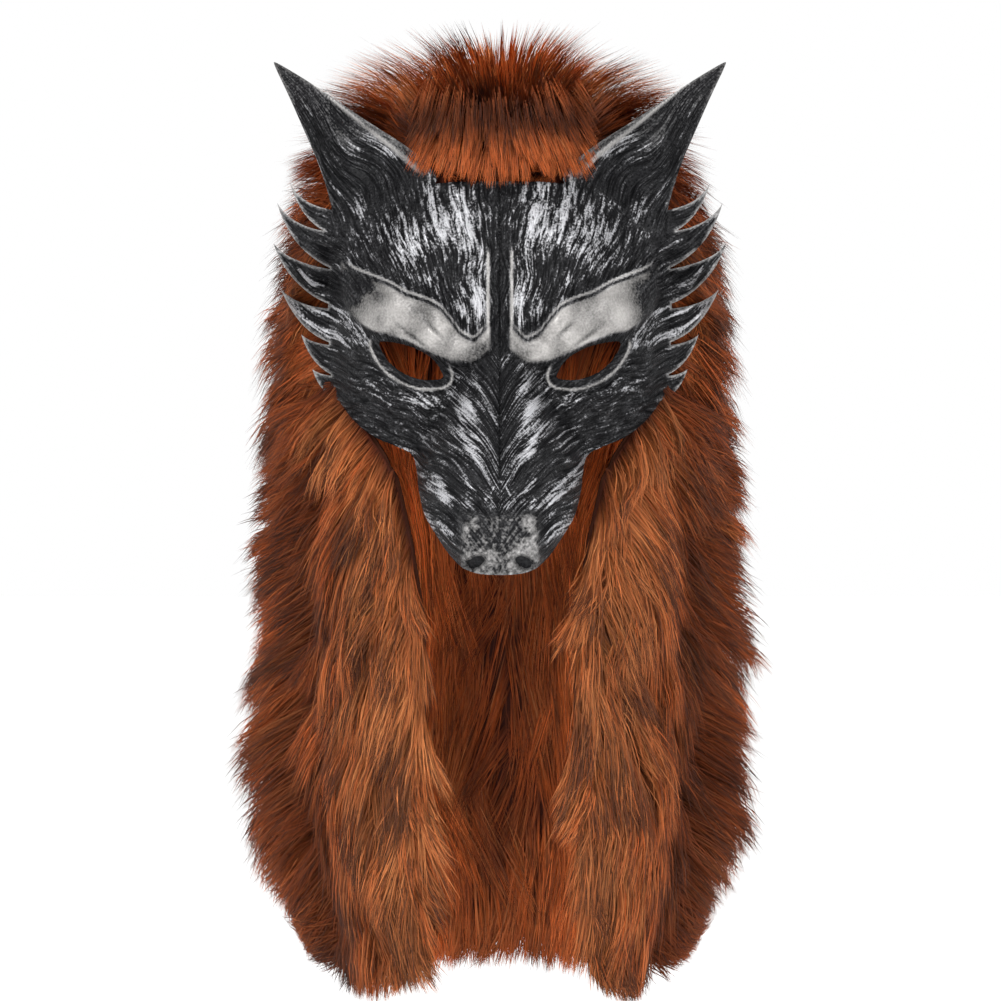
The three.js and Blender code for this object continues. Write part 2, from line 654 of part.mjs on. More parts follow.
/** The pile over the crown: a dome of locks that fan out from the top. */
function crownSolid(space) {
  const { top } = PATCHES.back_fur;
  const ringOf = (place) =>
    Array.from({ length: HOOD_COLUMNS }, (_, j) => place(j < HOOD_COLUMNS / 2 ? j : j - HOOD_COLUMNS, j));
  const edge = top - (CLEARANCE * 1.5) / HOOD_LENGTH;
  const rings = [0.012, 0.03, 0.05, 0.075, edge].map((down, i) =>
    ringOf((column, j) => {
      const lock = LOCK[(i + ((j >> 1) % 2) * 2) % LOCK.length];
      const smooth = down === edge ? 0 : 0.5;
      return pilePoint(column, down, j % 2 ? lerp(lock.size, 1, smooth) : lerp(VALLEY, 1, smooth), 0);
    }),
  );
  rings.push(ringOf((column) => hoodPoint(column, edge).addScaledVector(hoodOut(column, edge), -3)));
  const floor = new THREE.Vector3(0, 0, -edge * HOOD_LENGTH);
  const dome = loft(rings, new THREE.Vector3(0, 0, CROWN_PILE), floor);
  return largest(dome.subtract(hoodCore(CLEARANCE)).subtract(space));
}

/** The pile inside the curtain's back. */
function innerPileSolid() {
  const inside = (size) => (column, down, share, drop) => {
    const deep = HOOD_WALL + CLEARANCE + INNER_PILE * (size ?? share);
    const p = hoodPoint(column, down).addScaledVector(hoodOut(column, down), -deep);
    return p.setZ(p.z - (size === undefined ? drop * LOCK_DROP : 0));
  };
  const whole = slab(pileGrid(INNER_PATCH, inside(undefined)), pileGrid(INNER_PATCH, inside(-0.3)));
  return largest(whole.intersect(hoodCore(-HOOD_WALL - CLEARANCE)).subtract(belowHem(0)));
}

/** A named mesh of a solid with its material. */
function meshOf(name, solid, material) {
  const made = solid.simplify(FACET_TOLERANCE).getMesh();
  const points = new Float32Array(made.numVert * 3);
  for (let i = 0; i < made.numVert; i++) {
    points.set(made.vertProperties.subarray(i * made.numProp, i * made.numProp + 3), i * 3);
  }
  const geometry = new THREE.BufferGeometry();
  geometry.setAttribute("position", new THREE.BufferAttribute(points, 3));
  geometry.setIndex(new THREE.BufferAttribute(new Uint32Array(made.triVerts), 1));
  geometry.computeVertexNormals();
  const mesh = new THREE.Mesh(geometry, material);
  mesh.name = name;
  return mesh;
}

const silver = new THREE.MeshStandardMaterial({ color: 0x6b6b6e, roughness: 0.38, metalness: 0.75 });
const knit = new THREE.MeshStandardMaterial({ color: 0x3d1c10, roughness: 0.95, metalness: 0 });
const fur = new THREE.MeshStandardMaterial({ color: 0x8a3d1a, roughness: 0.8, metalness: 0 });

const space = maskSpace();
const werewolfMask = new THREE.Group();
werewolfMask.add(meshOf("mask_shell", maskSolid(), silver));
werewolfMask.add(meshOf("hood_backing", backingSolid(space), knit));
werewolfMask.add(meshOf("crown_fur", crownSolid(space), fur));
for (const [name, patch] of Object.entries(PATCHES)) {
  werewolfMask.add(meshOf(name, patchSolid(patch, space), fur));
}
werewolfMask.add(meshOf("left_front_fur", panelSolid(-1, space), fur));
werewolfMask.add(meshOf("right_front_fur", panelSolid(1, space), fur));
werewolfMask.add(meshOf("inner_back_fur", innerPileSolid(), fur));

export default werewolfMask;
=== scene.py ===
import math

import bpy
import numpy as np
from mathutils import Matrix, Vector
from mathutils.geometry import delaunay_2d_cdt
from mathutils.kdtree import KDTree


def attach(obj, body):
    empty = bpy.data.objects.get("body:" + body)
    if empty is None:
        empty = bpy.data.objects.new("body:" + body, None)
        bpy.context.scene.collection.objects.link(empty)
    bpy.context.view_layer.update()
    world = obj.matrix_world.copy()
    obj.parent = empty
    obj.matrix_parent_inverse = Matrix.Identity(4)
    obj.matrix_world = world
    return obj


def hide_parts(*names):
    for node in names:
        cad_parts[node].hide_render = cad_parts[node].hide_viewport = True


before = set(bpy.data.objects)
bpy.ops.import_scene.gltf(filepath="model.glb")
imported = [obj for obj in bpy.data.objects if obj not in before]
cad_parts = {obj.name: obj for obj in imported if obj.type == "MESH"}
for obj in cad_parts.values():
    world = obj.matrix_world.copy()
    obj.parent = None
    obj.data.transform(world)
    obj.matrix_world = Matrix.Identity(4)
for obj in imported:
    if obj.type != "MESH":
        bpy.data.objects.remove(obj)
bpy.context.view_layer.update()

MM = 0.001

# The hood's and the mask's sizes, in millimetres, as in the solids.
HOOD_WALL, HOOD_WIDTH, HOOD_LENGTH, HOOD_BACK, HOOD_FRONT = 2, 210, 414, 100, 88
HOOD_SQUARENESS, GAP_WIDTH, FOLD_DEPTH = 2.4, 76, 7
CROWN_PILE, SIDE_PILE, INNER_PILE = 46, 26, 17
FACE_WIDTH, FACE_TOP, FACE_HEIGHT, FACE_DEPTH, FACE_EDGE_DEPTH, SIDE_SLOPE = 182, 26, 194, 106, 20, 0.6
SNOUT_WIDTH, SNOUT_REACH, SNOUT_BLEND = 88, 180, 10
BROW_HEIGHT, BROW_EDGE, BULGE_HEIGHT, BULGE_SIZE = 6, 3.4, 5, 21
CHANNEL_HALF, CHANNEL_DEPTH = 6, 3
NOSE_WIDTH, NOSE_RISE, NOSTRIL_DEPTH = 42, 4, 6
EYE_WIDTH, EYE_HEIGHT, EYE_INNER_X, EYE_TOP = 33, 20, 27.5, 105
EAR_ROOT, EAR_TIP = np.array([58.0, -36.0]), np.array([113.5, 36.0])
EAR_ROOT_HALF, EAR_ROOT_DEPTH, EAR_TIP_DEPTH, EAR_SCOOP = 32, 86, 54, 17
TUFT_REACH, TUFT_WIDTH = 28, 19
SHELL_WALL = 2.4
HALF_FACE, HALF_HOOD, HALF_SNOUT = FACE_WIDTH / 2, HOOD_WIDTH / 2, SNOUT_WIDTH / 2

# Places on the hood are a column, from 0 at the back to 20 and -20 at the front, and a share of the way down.
HOOD_COLUMNS = 40
FRONT_COLUMN = HOOD_COLUMNS / 2
CROWN_EDGE, CROWN_MIDDLE = 0.1, 0.004
MASK_STEP = 0.98
FLOOR_HEIGHT, FLOOR_REACH = -620, 20000
SKIN_SHARE = 0.12
HEM_DROP = 19                # how far the longest strands hang below the hem
FRINGE_HALF = 44             # half the fringe's width
FRINGE_LOW, FRINGE_FRONT = -33, -103
STRANDS = dict(
    back=25000, side=25000, around_face=6000, front=18500, rim=5000, inner=25000, crown=24000, fringe=4600,
)

HOOD_SECTIONS = dict(
    down=[0.0, 0.012, 0.032, 0.068, 0.12, 0.19, 0.29, 0.42, 0.58, 0.76, 0.89, 1.0],
    wide=[0.0, 0.32, 0.51, 0.69, 0.81, 0.87, 0.9, 0.92, 0.96, 0.99, 0.94, 0.77],
    back=[0.0, 0.4, 0.62, 0.81, 0.93, 0.99, 1.0, 0.92, 0.82, 0.76, 0.71, 0.66],
    front=[0.0, 0.44, 0.69, 0.92, 1.01, 1.02, 0.98, 0.84, 0.76, 0.72, 0.66, 0.58],
)
FOLDS = dict(
    turn=[0.0, 0.15, 0.3, 0.43, 0.56, 0.7, 0.81],
    spread=[0.14, 0.1, 0.14, 0.11, 0.14, 0.08, 0.11],
    rise=[0.8, -0.9, 0.8, -0.8, 0.6, -1.3, 0.9],
)
PILE_SECTIONS = dict(
    down=[0.0, 0.04, 0.1, 0.2, 0.8, 1.0],
    crown=[1.0, 0.94, 0.4, 0.0, 0.0, 0.0],
    side=[0.0, 0.0, 0.45, 0.95, 1.0, 0.85],
)
FACE_OPENING = dict(
    down=[0.085, 0.11, 0.14, 0.2, 0.29, 0.34, 0.4],
    half=[0.3, 0.72, 0.86, 0.9, 0.89, 0.78, 0.6],
)
FACE_END = 0.405
PANEL_GAP = dict(
    down=[0.41, 0.49, 0.59, 0.75, 0.9, 1.2],
    half=[1.36, 1.16, 0.98, 0.98, 1.05, 1.3],
)
HEM = dict(across=[0.0, 0.46, 0.6, 0.78, 0.93, 1.0, 1.2], up=[0.0, 0.0, -0.014, -0.004, 0.03, 0.07, 0.12])
FACE_SECTIONS = dict(
    down=[0.0, 0.03, 0.08, 0.18, 0.34, 0.41, 0.505, 0.552, 0.608, 0.655, 0.676, 0.696, 0.747, 0.781, 0.851,
          0.897, 0.948, 0.985, 1.0],
    wide=[0.33, 0.6, 0.92, 0.93, 0.956, 0.945, 0.934, 0.896, 0.813, 0.687, 0.57, 0.473, 0.445, 0.44, 0.407,
          0.346, 0.275, 0.198, 0.1],
    deep=[0.84, 0.865, 0.9, 0.955, 0.99, 0.99, 0.965, 0.94, 0.91, 0.88, 0.86, 0.84, 0.8, 0.8, 0.8, 0.8, 0.8,
          0.8, 0.8],
)
SNOUT_SECTIONS = dict(
    down=[0.36, 0.41, 0.46, 0.51, 0.588, 0.665, 0.742, 0.794, 0.835, 0.871, 0.923, 0.969, 1.0],
    wide=[0.26, 0.28, 0.31, 0.42, 0.62, 0.86, 1.0, 1.0, 0.97, 0.88, 0.74, 0.56, 0.36],
    reach=[0.575, 0.59, 0.605, 0.64, 0.715, 0.795, 0.87, 0.915, 0.945, 0.965, 0.975, 0.96, 0.92],
    edge=[0.53, 0.535, 0.53, 0.515, 0.5, 0.49, 0.505, 0.55, 0.595, 0.65, 0.75, 0.84, 0.87],
)
BROW = dict(
    across=[0.05, 0.14, 0.214, 0.264, 0.324, 0.396, 0.511, 0.6, 0.692, 0.769, 0.824, 0.874],
    top=[0.36, 0.407, 0.389, 0.356, 0.322, 0.304, 0.286, 0.26, 0.242, 0.227, 0.214, 0.186],
    bottom=[0.443, 0.477, 0.474, 0.472, 0.461, 0.446, 0.418, 0.403, 0.394, 0.371, 0.345, 0.3],
)
EYE = dict(
    across=[1.0, 0.74, 0.45, 0.15, 0.0, 0.06, 0.32, 0.6, 0.82, 0.95],
    down=[0.0, 0.05, 0.18, 0.47, 0.9, 0.98, 1.0, 0.85, 0.57, 0.25],
)
EAR_SECTIONS = dict(
    along=[-0.12, 0.0, 0.2, 0.4, 0.6, 0.8, 1.0],
    inner=[0.86, 0.95, 0.8, 0.6, 0.42, 0.24, 0.02],
    outer=[0.86, 0.9, 0.62, 0.42, 0.28, 0.14, 0.02],
)
TUFTS = [
    dict(root=0.11, tip=0.0, reach=0.72, width=0.75),
    dict(root=0.18, tip=0.05, reach=0.95, width=1.0),
    dict(root=0.27, tip=0.157, reach=1.0, width=1.0),
    dict(root=0.37, tip=0.273, reach=0.88, width=1.0),
    dict(root=0.46, tip=0.384, reach=0.56, width=0.9),
    dict(root=0.53, tip=0.474, reach=0.36, width=0.7),
]


def smoothstep(x, low, high):
    t = np.clip((x - low) / (high - low), 0, 1)
    return t * t * (3 - 2 * t)


def hump(r):
    """1 at the middle, falling smoothly to 0 at a distance of 1."""
    return np.maximum(0, 1 - r * r) ** 2


def window(x, a, b, c, d):
    """Rises from 0 to 1 between a and b, and falls back to 0 between c and d."""
    return smoothstep(x, a, b) * (1 - smoothstep(x, c, d))


def read(table, column, down):
    return np.interp(down, table["down"], table[column])


def soft_reader(table, along, blur):
    """Functions that read a table's columns with rounded changes from row to row."""
    low, high = table[along][0], table[along][-1]
    pad = (high - low) * 0.1
    at = np.linspace(low - pad, high + pad, 900)
    step = at[1] - at[0]
    reach = int(3 * blur / step) + 1
    kernel = np.exp(-0.5 * (np.arange(-reach, reach + 1) * step / blur) ** 2)
    kernel /= kernel.sum()
    made = {}
    for column in table:
        padded = np.pad(np.interp(at, table[along], table[column]), reach, mode="edge")
        made[column] = np.convolve(padded, kernel, mode="valid")
    return lambda column, q: np.interp(q, at, made[column])


face_read = soft_reader(FACE_SECTIONS, "down", 0.02)
snout_read = soft_reader(SNOUT_SECTIONS, "down", 0.022)
brow_read = soft_reader(BROW, "across", 0.012)
ear_read = soft_reader(EAR_SECTIONS, "along", 0.03)


def noise2(u, v, seed):
    """Smooth noise from 0 to 1 over a plane."""
    table = np.random.default_rng(seed).random((256, 256))
    iu, iv = np.floor(u).astype(int), np.floor(v).astype(int)
    fu, fv = u - iu, v - iv
    fu, fv = fu * fu * (3 - 2 * fu), fv * fv * (3 - 2 * fv)
    a = table[iu % 256, iv % 256]
    b = table[(iu + 1) % 256, iv % 256]
    c = table[iu % 256, (iv + 1) % 256]
    d = table[(iu + 1) % 256, (iv + 1) % 256]
    return (a * (1 - fu) + b * fu) * (1 - fv) + (c * (1 - fu) + d * fu) * fv


# The mask

def face_z(down):
    return -(FACE_TOP + down * FACE_HEIGHT)


def ear_place(x, z):
    """How far from the ear's root to its tip a place is, and how far off the line between them."""
    axis = EAR_TIP - EAR_ROOT
    px, pz = x - EAR_ROOT[0], z - EAR_ROOT[1]
    along = (px * axis[0] + pz * axis[1]) / (axis @ axis)
    off = (px * axis[1] - pz * axis[0]) / np.sqrt(axis @ axis)
    return along, off


def ear_half(along, off):
    """The ear's width from its middle line to the edge on the place's own side."""
    return EAR_ROOT_HALF * np.where(off > 0, ear_read("outer", along), ear_read("inner", along))


def ear_share(along, off):
    return np.clip(off / (ear_half(along, off) + 4), -1, 1)


def mask_depth(x, z):
    """How far in front of the origin the mask's face is without its carving, and where its features lie."""
    away = np.sqrt(x * x + 0.8)
    across = away / HALF_FACE
    down = (-z - FACE_TOP) / FACE_HEIGHT
    inside = np.minimum(across, 0.94)
    middle = face_read("deep", down) * FACE_DEPTH
    face = FACE_EDGE_DEPTH + (middle - FACE_EDGE_DEPTH) * np.sqrt(1 - inside ** 2.4)
    face -= SIDE_SLOPE * (across - inside) * HALF_FACE
    top, bottom = brow_read("top", across), brow_read("bottom", across)
    rise = smoothstep(np.minimum(down - top, bottom - down) * FACE_HEIGHT, -BROW_EDGE / 2, BROW_EDGE)
    rise *= window(across, 0.03, 0.06, 0.86, 0.9)
    face += BROW_HEIGHT * rise
    face += BULGE_HEIGHT * hump(np.hypot(away - HALF_FACE * 0.45, face_z(0.14) - z) / BULGE_SIZE)
    channel = window(down, 0.12, 0.25, 0.4, 0.45)
    face -= CHANNEL_DEPTH * channel * hump(away / CHANNEL_HALF)
    along, off = ear_place(away, z)
    share = ear_share(along, off)
    hollow = EAR_SCOOP * (1 - share * share) * hump((along - 0.26) / 0.75)
    ear = EAR_ROOT_DEPTH + (EAR_TIP_DEPTH - EAR_ROOT_DEPTH) * np.clip(along, 0, 1) ** 0.8 - hollow
    on_ear = smoothstep(along, -0.22, 0.08) * smoothstep(away, 22, 34)
    face = face * (1 - on_ear) + ear * on_ear
    half = snout_read("wide", down) * HALF_SNOUT
    reach, edge = snout_read("reach", down) * SNOUT_REACH, snout_read("edge", down) * SNOUT_REACH
    side = away / half
    snout = edge + (reach - edge) * np.sqrt(1 - np.minimum(side, 0.995) ** 2.6)
    snout -= np.maximum(0, side - 0.995) * half * 3
    near = np.maximum(0, SNOUT_BLEND - np.abs(face - snout))
    both = np.maximum(face, snout) + near * near / (4 * SNOUT_BLEND)
    started = smoothstep(down, 0.34, 0.38)
    face = face * (1 - started) + both * started
    pad = smoothstep(down, 0.835, 0.862 - 0.012 * (away / 20))
    pad *= 1 - smoothstep(away, NOSE_WIDTH * 0.42, NOSE_WIDTH * 0.53)
    return face + NOSE_RISE * pad, rise, on_ear, share, along, pad


def chaikin(loop):
    """Cuts the corners of a closed line twice."""
    loop = np.asarray(loop, float)
    for _ in range(2):
        nxt = np.roll(loop, -1, axis=0)
        loop = np.stack([loop * 0.78 + nxt * 0.22, loop * 0.22 + nxt * 0.78], axis=1).reshape(-1, 2)
    return loop


def resample(loop, step):
    nxt = np.roll(loop, -1, axis=0)
    made = []
    for a, b in zip(loop, nxt):
        count = max(1, int(np.hypot(*(b - a)) / step))
        made.append(a + (b - a) * (np.arange(count) / count)[:, None])
    return np.vstack(made)


def bezier(a, b, c, count):
    t = np.linspace(0, 1, count)[:, None]
    return (1 - t) ** 2 * a + 2 * t * (1 - t) * b + t * t * c


def mask_loops():
    """The outlines whose union is the mask, and those of the eye holes."""
    down = np.array(FACE_SECTIONS["down"])
    wide = np.array(FACE_SECTIONS["wide"]) * HALF_FACE
    right = np.stack([wide, face_z(down)], axis=1)
    solid = [chaikin(np.vstack([right, right[::-1] * [-1, 1]]))]
    axis = EAR_TIP - EAR_ROOT
    across = np.array([axis[1], -axis[0]]) / np.hypot(*axis)
    along = np.array(EAR_SECTIONS["along"])[:, None]
    outer = EAR_ROOT + axis * along + across * np.array(EAR_SECTIONS["outer"])[:, None] * EAR_ROOT_HALF
    inner = EAR_ROOT + axis * along - across * np.array(EAR_SECTIONS["inner"])[:, None] * EAR_ROOT_HALF
    ear = chaikin(np.vstack([outer, inner[::-1]]))
    root_x = HALF_FACE * 0.84
    for side in (-1, 1):
        solid.append(ear * [side, 1])
        for t in TUFTS:
            tip = np.array([HALF_FACE * 0.93 + TUFT_REACH * t["reach"], face_z(t["tip"])])
            half = TUFT_WIDTH * t["width"] / 2
            top, low = (np.array([root_x, face_z(t["root"]) + off]) for off in (half, -half))
            bend_x = root_x + (tip[0] - root_x) * 0.75
            upper = bezier(top, np.array([bend_x, top[1] + (tip[1] - top[1]) * 0.05]), tip, 14)
            lower = bezier(tip, np.array([bend_x, low[1] + (tip[1] - low[1]) * 0.15]), low, 14)
            solid.append(np.vstack([upper, lower[1:]]) * [side, 1])
    across, down = np.array(EYE["across"]), np.array(EYE["down"])
    eye = chaikin(np.stack([EYE_INNER_X + across * EYE_WIDTH, -(EYE_TOP + down * EYE_HEIGHT)], 1))
    return solid, [eye, eye * [-1, 1]]


def inside_loop(points, loop):
    x, z = points[:, 0], points[:, 1]
    inside = np.zeros(len(points), bool)
    for (ax, az), (bx, bz) in zip(loop, np.roll(loop, -1, axis=0)):
        if az == bz:
            continue
        crosses = (az > z) != (bz > z)
        inside ^= crosses & (x < (bx - ax) * (z - az) / (bz - az) + ax)
    return inside


def on_mask(points, solid, eyes):
    inside = np.zeros(len(points), bool)
    for loop in solid:
        inside |= inside_loop(points, loop)
    for loop in eyes:
        inside &= ~inside_loop(points, loop)
    return inside


def loop_distance(points, loop):
    best = np.full(len(points), 1e9)
    for a, b in zip(loop, np.roll(loop, -1, axis=0)):
        d = b - a
        t = np.clip(((points - a) @ d) / max(d @ d, 1e-9), 0, 1)
        best = np.minimum(best, np.hypot(*(points - a - t[:, None] * d).T))
    return best


def streak(away, z, middle, half, lean, wide):
    """A soft oval patch, lean being the direction of its length."""
    dx, dz = np.array(lean) / np.hypot(*lean)
    u = (away - middle[0]) * dx + (z - middle[1]) * dz
    v = (away - middle[0]) * dz - (z - middle[1]) * dx
    return hump(np.hypot(u / half, v / wide))


# Patches with the most silver: middle, half length, direction of the length, half width and amount.
BRIGHT = [
    ((11.5, -124.5), 9, (-5, -11), 4.2, 1.0),
    ((15, -140), 13, (-10.5, -18), 4.0, 1.0),
    ((17.5, -156), 25, (-24, -31), 4.0, 1.0),
    ((39, -136), 10, (-9.5, -4.5), 5.5, 0.8),
    ((34.5, -154.5), 9, (-8, -5), 5, 0.7),
    ((16, -178), 14, (-8, -22), 5, 1.0),
    ((27, -183), 13, (-6, -14), 4, 0.75),
    ((36.5, -184.5), 10, (-4.5, -9), 3, 0.8),
    ((61, -117.5), 20, (-16, -29.5), 5.5, 0.85),
    ((43, -56), 26, (-3, -10), 19, 1.25),
    ((11, -90), 15, (0.5, -10), 5, 0.9),
    ((18, -44), 20, (1, -10), 18, 0.7),
    ((36, -34), 18, (-6, -17), 4, 0.7),
    ((15, -197.5), 9, (4, -9), 5, 0.8),
    ((9, -212), 9, (9, -2), 6, 0.55),
]
# Hollows that stay black: middle, half length, direction of the length and half width.
DARK = [
    ((24, -72), 20, (-1, -10), 6),
    ((35, -68), 8, (4, -10), 5),
    ((11, -174), 10, (-3, -10), 5.5),
    ((21, -172), 14, (-8, -14), 3.5),
    ((25, -139), 13, (-10, -16), 3.4),
    ((29, -123), 10, (-6, -10), 5),
    ((0, -192), 7, (1, 0), 5),
]


def flows(x, z, share, along):
    """Place across and along the carved hair in millimetres, for the forehead, snout, ears and side tufts."""
    away = np.abs(x)
    r, th = np.hypot(away, z + 200), np.arctan2(away, z + 200)
    wave = 0.03 * (noise2(r / 14, th * 3, 3) - 0.5)
    fore = ((th + wave) * 95, r)
    u = z - 26 * np.log1p(away / 13) + 3.2 * noise2(away / 9 + 4, z / 11, 13)
    snout = (u / 1.9, away * 1.1 - z * 0.35)
    sway = 2.6 * np.sin(along * 11 + share) + 2 * noise2(share * 2 + 5, along * 6, 14)
    ear = (share * 24 + sway, along * 90)
    w = 1.6 * np.sin(away / 5.5) + 2 * noise2(away / 8, z / 9, 15)
    tuft = (0.62 * away - 0.78 * z + w, 0.78 * away + 0.62 * z)
    return fore, snout, ear, tuft


def locks(flow, wide, tall, seed):
    u, v = flow
    fine = noise2(u / wide * 2.2 + 60, v / tall * 1.6 + 60, seed + 1)
    return noise2(u / wide + 60, v / tall + 60, seed) * 0.68 + fine * 0.32


def carving(x, z, eye, edge_gap, rise, on_ear, share, along, pad):
    """The relief in millimetres, the silver on it and its smoothness from 0 to 1, the zones and the flows."""
    away = np.abs(x)
    down = (-z - FACE_TOP) / FACE_HEIGHT
    across = away / HALF_FACE
    eye_gap = loop_distance(np.stack([away, z], 1), eye)
    flow = flows(x, z, share, along)
    w_snout = smoothstep(-z, 104, 116) * (1 - smoothstep(rise, 0.2, 0.7))
    _, off = ear_place(away, z)
    past_ear = np.abs(off) - ear_half(along, off)
    w_ear = on_ear * smoothstep(along, -0.1, 0.08) * (1 - smoothstep(past_ear, 0.5, 3.5))
    w_tuft = smoothstep(away, 72, 80) * (1 - w_ear) * (1 - smoothstep(-z, 128, 140))
    zones = np.stack([w_snout, w_ear, w_tuft], 1)
    base = locks(flow[0], 3.6, 40, 5)
    for k, (wide, tall, seed) in enumerate(((3.0, 22, 25), (4.4, 34, 35), (3.4, 26, 45))):
        base = base * (1 - zones[:, k]) + locks(flow[k + 1], wide, tall, seed) * zones[:, k]
    strand = np.clip((base - 0.3) / 0.4, 0, 1)
    eyelid = hump(eye_gap / 7) * smoothstep(-z, 100, 106)
    smooth_zone = np.clip(np.maximum.reduce([smoothstep(rise, 0.25, 0.7), pad, eyelid]), 0, 1)
    band = w_ear * (1 - smoothstep(share, -0.74, -0.66))
    inner_side = w_ear * smoothstep(along, 0.3, 0.5) * (1 - smoothstep(share, -0.25, 0.1))
    tip_smooth = np.maximum.reduce([smoothstep(along, 0.6, 0.84) * on_ear, band * 0.9, inner_side * 0.85])
    carve = 1 - np.clip(smooth_zone + tip_smooth, 0, 1)
    deep = 1 + 0.5 * w_tuft + 0.3 * w_snout + 0.4 * w_ear
    relief = carve * deep * (2.1 * strand - 1.1)
    # The eyelids' rolled lower rims with a groove on each side.
    low = smoothstep(-z - 105 - 0.34 * (60 - away), -1.5, 3)
    lid = hump((eye_gap - 4.6) / 1.5) * low
    relief += 2.0 * lid - 1.6 * hump((eye_gap - 7.6) / 2.2) * low - 0.9 * hump((eye_gap - 1.6) / 1.8) * low
    # Soft folds across the brows, a rim along their upper edges, and the two ridges that bound the channel.
    fold = np.sin(away / 4.6 + z / 6.2 + 5 * noise2(away / 18, z / 14, 41))
    brow = smoothstep(rise, 0.5, 1)
    top = (down - brow_read("top", across)) * FACE_HEIGHT
    bottom = (brow_read("bottom", across) - down) * FACE_HEIGHT
    dome = np.sqrt(np.clip(np.minimum(top, bottom) / 10, 0, 1))
    relief += (1.3 * fold * smoothstep(away, 14, 26) + 2.6 * dome) * brow
    pad_edge = 4 * pad * (1 - pad)
    relief -= 1.3 * pad_edge
    rim_line = hump((top + 0.6) / 1.5) * window(across, 0.06, 0.1, 0.8, 0.88)
    bound = hump((away - 5.8) / 1.7) * window(-z, 56, 64, 98, 106)
    rim_line = np.maximum(rim_line, bound)
    relief += 1.5 * rim_line - 1.4 * hump((top + 4) / 3.2) * window(across, 0.1, 0.2, 0.8, 0.9)
    # The groove down the snout, and the forms beside it.
    relief -= 1.6 * hump(away / 2.4) * window(-z, 116, 124, 170, 176)
    relief += 1.6 * hump((away - 4.6) / 4) * window(-z, 114, 124, 160, 176)
    bright = np.zeros(len(x))
    for middle, half, lean, wide, much in BRIGHT:
        patch = streak(away, z, middle, half, lean, wide)
        bright = np.maximum(bright, patch * much)
        if middle[1] < -115:
            relief += 1.5 * patch * much
    gloom = np.zeros(len(x))
    for middle, half, lean, wide in DARK:
        gloom = np.maximum(gloom, streak(away, z, middle, half, lean, wide))
    relief -= 2.2 * gloom * smoothstep(-z, 112, 122)
    # The raised triangle above the nose.
    past_wedge = away - 7.2 * (-z - 174) / 10.5
    wedge = hump(np.abs(past_wedge * 0.82) / 0.9) * window(-z, 173, 175, 184, 186)
    relief += 1.0 * (past_wedge < 0) * window(-z, 174, 178, 184, 187)
    # Nostrils, and the slit and the dot under the nose.
    curl = np.hypot((away - 11.5) / 5.6, (z + 213.6 + (away - 11) * 0.3) / 3.6)
    nostril = np.clip(hump(curl / 1.2) * 1.5, 0, 1)
    shine = hump(np.hypot((away - 12.6) / 3.4, (z + 214.4 + (away - 12) * 0.3) / 1.2))
    relief -= NOSTRIL_DEPTH * nostril
    relief += 1.3 * hump((curl - 1.35) / 0.5) * pad + 2.4 * shine
    relief -= 1.5 * hump(np.hypot(away / 1.4, (z + 217.5) / 2.6))
    relief += 0.35 * pad * (noise2(x * 0.8, z * 0.8, 51) - 0.5)
    # The ears: a rolled band along the inner edge with a line beside it, and ridges to the outer edge.
    line = w_ear * hump((share + 0.7) / 0.07) * (1 - smoothstep(along, 0.9, 1.0))
    relief += 2.2 * band + 1.2 * line
    hollow = w_ear * hump(np.hypot((share + 0.1) / 0.72, (along - 0.16) / 0.34))
    relief -= 2.0 * hollow
    # Two creases across each brow.
    long_crease = streak(away, z, (43, -103.5), 17, (-12, -9.5), 1.7)
    crease = np.maximum(long_crease, streak(away, z, (32.5, -100), 11, (-6.5, -6.5), 1.6))
    relief -= 1.6 * crease * brow
    # The silver: a light edge on the tufts and ears, brushed hair, plain brows, rims, and the speckled nose.
    edging = hump(edge_gap / 2.2) * np.maximum(w_tuft, 0.5 * w_ear)
    broad = noise2(x / 15 + 9, z / 15, 61) * 0.6 + noise2(x / 6 + 9, z / 6, 62) * 0.4
    tops = smoothstep(strand, 0.5, 0.95)
    silver = 0.2 + 0.28 * tops + 0.3 * (broad - 0.5) + 0.46 * bright * (0.6 + 0.4 * tops) - 0.08 * w_snout
    silver *= carve
    silver *= 1 - 0.85 * gloom
    silver *= 1 - 0.35 * w_snout * smoothstep(away, 44, 56)
    on_ears = carve * (0.08 + 0.56 * smoothstep(strand, 0.7, 0.98)) * (1 - 0.9 * hollow)
    silver = np.where(w_ear > 0.5, on_ears, silver)
    silver = np.maximum(silver, w_tuft * (0.04 + 0.6 * smoothstep(strand, 0.8, 1)))
    silver = np.where(w_tuft > 0.5, np.minimum(silver, 0.1 + 0.6 * smoothstep(strand, 0.8, 1)), silver)
    silver = np.maximum(silver, tip_smooth * (0.02 + 0.2 * (broad - 0.5) + 0.22 * band))
    on_brow = 0.56 + 1.1 * (broad - 0.5) + 0.14 * fold - 0.55 * smoothstep(across, 0.66, 0.9)
    silver = np.maximum(silver, brow * (1 - 0.6 * crease) * on_brow)
    rims = np.maximum(rim_line, line) * (0.6 + 0.5 * broad)
    silver = np.maximum.reduce([silver, rims, lid * (0.45 + 0.4 * broad), 0.62 * edging, 0.75 * wedge])
    on_nose = 0.02 + 0.45 * bright + 0.34 * smoothstep(-z, 198, 212) + 0.35 * (broad - 0.5)
    silver = np.maximum(silver, pad * (on_nose + 0.7 * (noise2(x / 1.3, z / 1.3, 71) - 0.5)))
    silver = np.maximum(silver * (1 - nostril), shine) * (1 - 0.8 * pad_edge)
    silver *= 1 - hump(away / 5.4) * window(-z, 54, 62, 106, 116)
    silver *= 1 - 0.8 * eyelid * (1 - lid) * (1 - smoothstep(rise, 0.3, 0.7))
    silver *= 1 - 0.8 * hump(away / 1.3) * window(-z, 116, 124, 170, 176)
